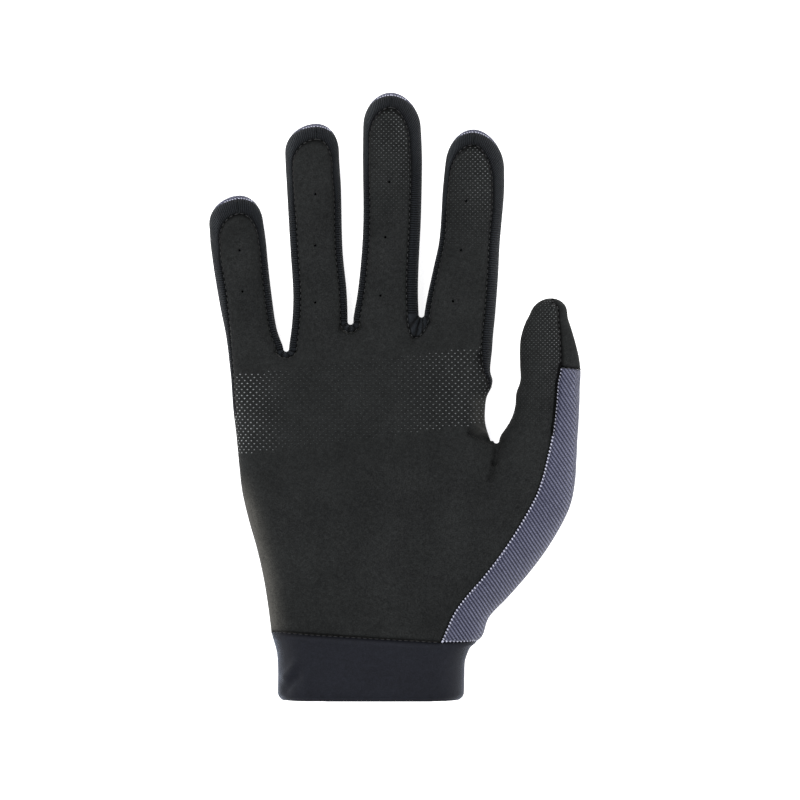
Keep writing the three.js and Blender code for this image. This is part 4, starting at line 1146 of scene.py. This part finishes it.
def knit_finish():
    material, tree, shader = new_finish(
        "ribbed_knit", Roughness=0.75, Specular_IOR_Level=0.1, Sheen_Weight=0.05, Sheen_Roughness=0.25,
        Sheen_Tint=(0.8, 0.9, 1.0, 1.0),
    )
    weave = node(tree, "UVMap", uv_map="cloth").outputs[0]
    ribs = use_group(tree, RIBS, Weave=weave, Slant=0.0, Pitch=0.00092, Stitch=0.0008, Round=1.2,
                     Beading=0.35, Sway=0.0005, Depth=0.00042)
    nap = nap_on(tree, 2600.0, 0.00004)
    # Painted shade: the knit's colour darkens towards the seams' grooves
    amount = times(tree, ribs["Crest"], nap["Shade"], outside_seam_shade(tree))
    paint(tree, shader, (0.0007, 0.0009, 0.0012), (0.0125, 0.0146, 0.0180), amount)
    raise_bump(tree, shader, plus(tree, ribs["Height"], nap["Height"]))
    return material


TWILL_SLANT = math.radians(-34)
TWILL_TURN = 0.0165  # below this height the twill stands, and its weave is measured down it too
TWILL_PITCH = 0.00124


def twill_finish():
    material, tree, shader = new_finish(
        "diagonal_twill", Roughness=0.6, Specular_IOR_Level=0.22, Sheen_Weight=0.06, Sheen_Roughness=0.35,
    )
    x, y, z = node(tree, "SeparateXYZ", {0: place_on(tree)}).outputs
    down = math_of(tree, "MAXIMUM", math_of(tree, "SUBTRACT", TWILL_TURN, z), 0.0)
    weave = node(tree, "CombineXYZ", {0: plus(tree, x, down), 1: y}).outputs[0]
    ribs = use_group(tree, RIBS, Weave=weave, Slant=TWILL_SLANT, Pitch=TWILL_PITCH, Stitch=0.0009,
                     Round=1.45, Beading=0.5, Sway=0.0005, Depth=0.00045)
    nap = nap_on(tree, 2400.0, 0.00003)
    # Painted light and shade over the twill's rib pattern: crests and their beads painted lighter as highlights,
    # valleys darker
    lit = times(tree, ribs["Crest"], plus(tree, times(tree, ribs["Bead"], 0.45), 0.55))
    paint(tree, shader, (0.005, 0.006, 0.022), (0.132, 0.137, 0.205), times(tree, lit, nap["Shade"]))
    raise_bump(tree, shader, plus(tree, ribs["Height"], nap["Height"]))
    return material


def cuff_finish():
    material, tree, shader = new_finish(
        "smooth_stretch", Roughness=0.6, Specular_IOR_Level=0.1, Sheen_Weight=0.34, Sheen_Roughness=0.25,
        Sheen_Tint=(0.62, 0.74, 1.0, 1.0),
    )
    weave = node(tree, "UVMap", uv_map="cloth").outputs[0]
    ribs = use_group(tree, RIBS, Weave=weave, Slant=0.0, Pitch=0.00042, Stitch=0.0005, Beading=0.4,
                     Depth=0.00004)
    nap = nap_on(tree, 1800.0, 0.00002)
    even = times(tree, plus(tree, times(tree, ribs["Crest"], 0.3), 0.4), nap["Shade"])
    # Painted shade: the cuff's colour darkens towards the seams' grooves
    paint(tree, shader, (0.0018, 0.0020, 0.0034), (0.0092, 0.0104, 0.0158), times(tree, even, outside_seam_shade(tree)))
    raise_bump(tree, shader, plus(tree, ribs["Height"], nap["Height"]))
    return material


def silicone_finish():
    """The dots' silicone: dull and dark, with a painted glint where its mask is high."""
    material, tree, shader = new_finish("silicone", Roughness=0.3, Specular_IOR_Level=0.6)
    even = spread(tree, clouds(tree, place_on(tree), 240.0, 2.0)[0], 0.35, 0.65, 0.45, 1.0)
    glint = mask(tree, "glint")
    # Painted glint: the dots are painted light grey where the mask is high
    paint(tree, shader, (0.009, 0.010, 0.0105), (0.21, 0.225, 0.23), times(tree, even, glint))
    tree.links.new(times(tree, glint, 0.6), shader.inputs["Specular IOR Level"])
    return material


def yarn_finish(name, dark, light, roughness):
    material, tree, shader = new_finish(name, Roughness=roughness, Specular_IOR_Level=0.4, Sheen_Weight=0.1)
    nap = nap_on(tree, 3200.0, 0.00004)
    paint(tree, shader, dark, light, times(tree, nap["Shade"], 0.6))
    raise_bump(tree, shader, nap["Height"])
    return material


FINISHES = {
    "suede": suede_finish(),
    "twill": twill_finish(),
    "rib_knit": knit_finish(),
    "stretch_cuff": cuff_finish(),
}
SILICONE = silicone_finish()
# Painted highlight: the rib ends' near-white colour stands for the twill's edge catching the light
RIB_END_HIGHLIGHT = yarn_finish("rib_end_highlight_yarn", (0.16, 0.165, 0.24), (0.56, 0.57, 0.68), 0.5)
THREAD = yarn_finish("dark_thread", (0.0015, 0.0016, 0.002), (0.010, 0.011, 0.013), 0.55)


# ---- The sewn panels as walls ----

def wall(piece, thickness):
    solid = piece.modifiers.new("wall", "SOLIDIFY")
    solid.thickness = thickness * MM
    solid.offset = -1
    solid.use_even_offset = False


def round_hem(piece):
    rounded = piece.modifiers.new("round_hem", "BEVEL")
    rounded.width = 0.75 * MM
    rounded.segments = 3
    rounded.limit_method = "ANGLE"
    rounded.angle_limit = math.radians(55)


for cad_node, (name, slot, thickness) in PIECES.items():
    panel_piece = finished(cut_panel(cad_node), name, FINISHES[slot], slot)
    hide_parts(cad_node)
    wall(panel_piece, thickness)
    if cad_node == "cuff":
        round_hem(panel_piece)


# ---- Rib ends and stitches along the seams ----

def seam_chains(first, second):
    """The seams between two panels of the skin, each as a run of vertices."""
    links = {}
    for edge in SEAM_EDGES.get(frozenset((PANELS.index(first), PANELS.index(second))), []):
        for vert in edge.verts:
            links.setdefault(vert, []).append(edge)
    used, chains = set(), []
    for start in sorted(links, key=lambda v: len(links[v]) != 1):
        chain, vert = [start], start
        while True:
            edge = next((e for e in links[vert] if e not in used), None)
            if edge is None:
                break
            used.add(edge)
            vert = edge.other_vert(vert)
            chain.append(vert)
        if len(chain) > 2:
            chains.append(chain)
    return chains


def places_along(chain, panel, pitch):
    """Evenly spaced places along a seam: point, normal, way along it and way into the panel."""
    number = PANELS.index(panel)
    points, normals = np.array([v.co for v in chain]), np.array([v.normal for v in chain])
    into = []
    for vert in chain:
        middles = [f.calc_center_median() for f in vert.link_faces if f.material_index == number]
        into.append(sum(middles, Vector()) / len(middles) - vert.co)
    length = arc_lengths(points, 0)
    at = np.arange(pitch / 2, length[-1], pitch)

    def even(values):
        return np.stack([np.interp(at, length, values[:, i]) for i in range(3)], axis=1)

    normal, along = unit(even(normals)), unit(even(np.gradient(points, axis=0)))
    return even(points), normal, along, unit(np.cross(normal, along) * np.sign(
        (np.cross(normal, along) * even(np.array(into))).sum(axis=1))[:, None])


class Grains:
    """Many small rounded grains in one piece, each longest the way it lies along."""

    def __init__(self, sides, rings):
        bm = bmesh.new()
        bmesh.ops.create_uvsphere(bm, u_segments=sides, v_segments=rings, radius=1)
        self.shape = positions(bm)
        self.one = mesh_of(bm, "grain")
        self.points, self.values = [], []

    def add(self, middle, normal, along, radii, value=1.0):
        normal, along = np.array(normal), np.array(along, float)
        along = unit(along - normal * (along @ normal))
        frame_of = np.stack([along, np.cross(normal, along), normal])
        self.points.append(np.array(middle) + (self.shape * radii) @ frame_of)
        self.values.append(value)

    def bmesh(self):
        """All the grains: the one shape doubled up until there are enough, then moved to their places."""
        bm, batch, left = bmesh.new(), self.one, len(self.points)
        # Each grain's value goes into this mask; the dots' silicone paints a glint with it
        layer = bm.verts.layers.float.new("glint")
        while left:
            if left % 2:
                bm.from_mesh(batch)
            left //= 2
            twice = bmesh.new()
            twice.from_mesh(batch)
            twice.from_mesh(batch)
            batch = mesh_of(twice, "grains")
        values = np.repeat(self.values, len(self.shape))
        for vert, co, value in zip(bm.verts, np.concatenate(self.points), values):
            vert.co = co
            vert[layer] = value
        return bm


RIB_WAY = (-math.sin(TWILL_SLANT), -math.cos(TWILL_SLANT), 0)
END_PITCH = 1.42
END_RADII = (0.52, 0.33, 0.3)
TIP_END_RADII = (0.4, 0.3, 0.26)
TIP_END_SPAN = 5.5
# Off the seam, how far into the twill the rib ends lie and how far out of it
WRAP_ENDS, GAP_ENDS, CUFF_ENDS = (0.35, 0.12), (0, 0.4), (0.6, 0.6)
TIP_ENDS = (0.35, 0.05), (1.15, 0.05)
TIP_END_PITCH = 1.05
GAP_EDGE = dict(x=(38, 50), y=(104, 124))
STITCH_PITCH = 2.3
STITCH_RADII = (0.85, 0.17, 0.15)
WRAP_LOW = SEAM_MIDDLE - 3


def on_wrap(point):
    """True beside the wrap's front seam, which runs from the cuff to the thumb's patch."""
    up, over = finger_places["thumb"].within(point)
    return over > 0 or (up < 0 and point[1] < CROTCH[1] - 12)


def off_tip(point):
    """How far a point lies beside the nearest finger's centre line."""
    offs = []
    for finger in FINGERS:
        place = finger_places[finger["name"]]
        tip = place.at(finger["length"], 0)
        offs.append((np.linalg.norm(point[:2] - tip), abs((point[:2] - tip) @ place.across)))
    return min(offs)[1]


def lay_rib_ends():
    """The ends of the twill's ribs where its edge shows: beads of yarn, painted near white as highlights of the
    edge catching the light.
    """
    ends = Grains(8, 6)

    def spots(other, pitch=END_PITCH):
        """Evenly spaced places along the twill's seams with another panel."""
        for chain in seam_chains("back_panel", other):
            yield from zip(*places_along(chain, "back_panel", pitch))

    def lay(spot, off, radii, way=RIB_WAY):
        point, normal, _, into = spot
        ends.add(point + into * off[0] + normal * off[1], normal, way, radii)

    for spot in spots("palm_panel"):
        (x, y, _), normal, along, _ = spot
        if x > 20 and normal[2] > -0.2 and WRAP_LOW < y and on_wrap(spot[0]):
            lay(spot, WRAP_ENDS, END_RADII)
        elif GAP_EDGE["y"][0] < y < GAP_EDGE["y"][1] and GAP_EDGE["x"][0] < x < GAP_EDGE["x"][1]:
            lay(spot, GAP_ENDS, TIP_END_RADII, along)
    for spot in spots("cuff"):
        if spot[0][0] > 27 and spot[1][2] > 0.35:
            lay(spot, CUFF_ENDS, END_RADII)
    for strip in STRIPS:
        for spot in spots(strip, TIP_END_PITCH):
            if spot[1][2] > 0.12 and off_tip(spot[0]) < TIP_END_SPAN:
                for off in TIP_ENDS:
                    lay(spot, off, TIP_END_RADII)
    finished(ends.bmesh(), "twill_rib_ends", RIB_END_HIGHLIGHT, "twill")


def lay_stitches():
    """The dark thread in the grooves round the suede, at the cuff's seam and round the thumb's patch."""
    stitches = Grains(6, 5)
    pairs = [("palm_panel", strip) for strip in STRIPS]
    pairs += [("palm_panel", "cuff"), ("palm_panel", "thumb_back_patch"), ("back_panel", "thumb_back_patch")]
    for first, second in pairs:
        for chain in seam_chains(first, second):
            for point, normal, along, _ in zip(*places_along(chain, first, STITCH_PITCH)):
                stitches.add(point + normal * 0.05, normal, along, STITCH_RADII)
    finished(stitches.bmesh(), "seam_stitches", THREAD, "thread")


lay_rib_ends()
lay_stitches()


# ---- Grip dots on the suede ----

DOT_PITCH, DOT_ROW = 2.48, 1.18
DOT_RADII = (0.38, 0.25, 0.24)
FINGER_DOTS, THUMB_DOTS = 0.79, 0.72  # their lattice beside the palm's
DOT_CLEAR = 1.1
STEEPEST = 0.35
# The mask's least value: there the dots get the least painted glint and are smallest
LEAST_GLINT = 0.08
BAND = dict(x=(-54, 43), low=(96.5, 108.7), high=(128.0, 139.0))  # the heights are at those two x
palm_surface = skin_of("palm_panel")
surface = BVHTree.FromBMesh(palm_surface)
SKY = 60


def drop(x, y):
    """Where a point dropped straight down meets the palm's suede, and the normal there."""
    hit = surface.ray_cast(Vector((x, y, SKY)), Vector((0, 0, -1)))
    return (hit[0], hit[1]) if hit[0] is not None and hit[1].z > 0.15 else (None, None)


def seam_distance(points):
    return distance_to_legs(points, *edge_legs([e for e in palm_surface.edges if len(e.link_faces) == 1]))


def palm_band(x, y):
    """The band below the fingers, which slants up to the thumb side."""
    across = (x - BAND["x"][0]) / (BAND["x"][1] - BAND["x"][0])
    return lerp(*BAND["high"], across) > y > lerp(*BAND["low"], across)


def finger_zone(name, low, high):
    """The end of a finger, from a share of its length to another."""
    place = finger_places[name]

    def inside(x, y):
        u, v = place.within((x, y))
        return low < u / place.finger["length"] < high and abs(v) < place.finger["width"] * 0.7
    return inside


def palm_dot_glint(x, y):
    """The palm's dots' painted glint, which also sets their size: highest at the band's two ends."""
    return lerp(LEAST_GLINT, 1, max(smooth((-30 - x) / 24), 0.55 * smooth((x - 4) / 34)))


def finger_dot_glint(name, low, high, side):
    """The same on a finger: highest towards its tip and thumb side."""
    place = finger_places[name]

    def glint(x, y):
        u, v = place.within((x, y))
        up = smooth((u / place.finger["length"] - low) / (high - low))
        over = smooth(0.5 + side * (v / place.finger["width"]))
        return lerp(LEAST_GLINT, 0.75, up * (0.3 + 0.7 * over))
    return glint


def lay_dots(name, inside, glint_at, low, high, size=1.0):
    """Raised dots in staggered rows between two corners of the plan, where the zone holds them."""
    dots = Grains(8, 6)
    row, y = 0, low[1]
    pitch = DOT_PITCH * size
    spots = []
    while y < high[1]:
        middle = (low[0] + high[0]) / 2 + (pitch / 2 if row % 2 else 0)
        for way in (1, -1):
            x = middle if way > 0 else middle - pitch
            while low[0] < x < high[0]:
                co, normal = drop(x, y)
                if co is not None and inside(x, y):
                    spots.append((co, normal))
                x += way * pitch * (max(normal.z, STEEPEST) if co is not None else 1)
        row += 1
        y += DOT_ROW * size
    clear = seam_distance(np.array([co for co, _ in spots])) > DOT_CLEAR * size
    for (co, normal), free in zip(spots, clear):
        if not free:
            continue
        # Where the mask is low, a dot is smaller and flatter and gets less painted glint
        glint = float(glint_at(co.x, co.y))
        wide = lerp(0.7, 1, glint) * size
        radii = (DOT_RADII[0] * wide, DOT_RADII[1] * wide, DOT_RADII[2] * size * lerp(0.45, 1, glint))
        dots.add(co, normal, (1, 0, 0), radii, glint)
    return finished(dots.bmesh(), name, SILICONE, "grip_dots")


lay_dots("dots_palm", palm_band, palm_dot_glint, (-58, 94), (50, 142))
# Each finger: where its dots start, how their painted glint spreads along and across it, and their corners and
# size
for finger, start, glint_spread, low, high, size in (
    ("middle", 0.42, (0.35, 0.95, 1), (-8, 150), (24, 245), FINGER_DOTS),
    ("index", 0.42, (0.35, 0.95, 1.6), (20, 140), (60, 235), FINGER_DOTS),
    ("thumb", 0.1, (0.1, 0.8, 1.6), (50, 100), (85, 170), THUMB_DOTS),
):
    lay_dots("dots_" + finger, finger_zone(finger, start, 1), finger_dot_glint(finger, *glint_spread), low, high, size)


# ---- Floor, light and camera ----

PHOTO_WIDTH = 0.3152
VIEW_CENTRE = (0.01143, 0.0302)
CAMERA_HEIGHT = 2.4
SENSOR = 36


def add_floor():
    bm = bmesh.new()
    bmesh.ops.create_circle(bm, cap_ends=True, segments=64, radius=3)
    mesh = mesh_of(bm, "floor")
    material, *_ = new_finish(
        "pale_floor", Roughness=0.9, Specular_IOR_Level=0.0, Base_Color=(0.95, 0.95, 0.95, 1),
        Emission_Color=(1, 1, 1, 1), Emission_Strength=0.8,
    )
    mesh.materials.append(material)
    placed("floor", mesh)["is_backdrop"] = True


def add_light(name, place, aim, size, watts):
    data = bpy.data.lights.new(name, "AREA")
    data.shape = "DISK"
    data.size = size
    data.energy = watts
    light = placed(name, data)
    light.location = place
    light.rotation_euler = (Vector(aim) - Vector(place)).to_track_quat("-Z", "Y").to_euler()


def add_camera():
    data = bpy.data.cameras.new("camera")
    data.sensor_width = SENSOR
    data.lens = SENSOR * CAMERA_HEIGHT / PHOTO_WIDTH
    data.clip_end = 20
    camera = placed("camera", data)
    camera.location = (*VIEW_CENTRE, CAMERA_HEIGHT + 0.01)
    bpy.context.scene.camera = camera


add_floor()
add_light("key", (-0.5, 0.7, 1.1), (0, 0, 0), 0.7, 14)
add_light("fill", (0.9, -0.2, 0.8), (0, 0, 0), 0.9, 6.5)
add_light("left_side", (-1.0, -0.2, 0.27), (0, -0.02, 0.01), 0.5, 4.5)
add_light("right_side", (1.0, 0.1, 0.3), (0, 0, 0.01), 0.5, 2.5)
world = bpy.data.worlds.new("studio")
world.use_nodes = True
feed(world.node_tree, world.node_tree.nodes["Background"], {"Color": (1, 1, 1, 1), "Strength": 0.75})
bpy.context.scene.world = world
bpy.context.scene.view_settings.view_transform = "Standard"
add_camera()

low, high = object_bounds()
{"cad": [list(cad_low), list(cad_high)], "visual": [list(low), list(high)]}
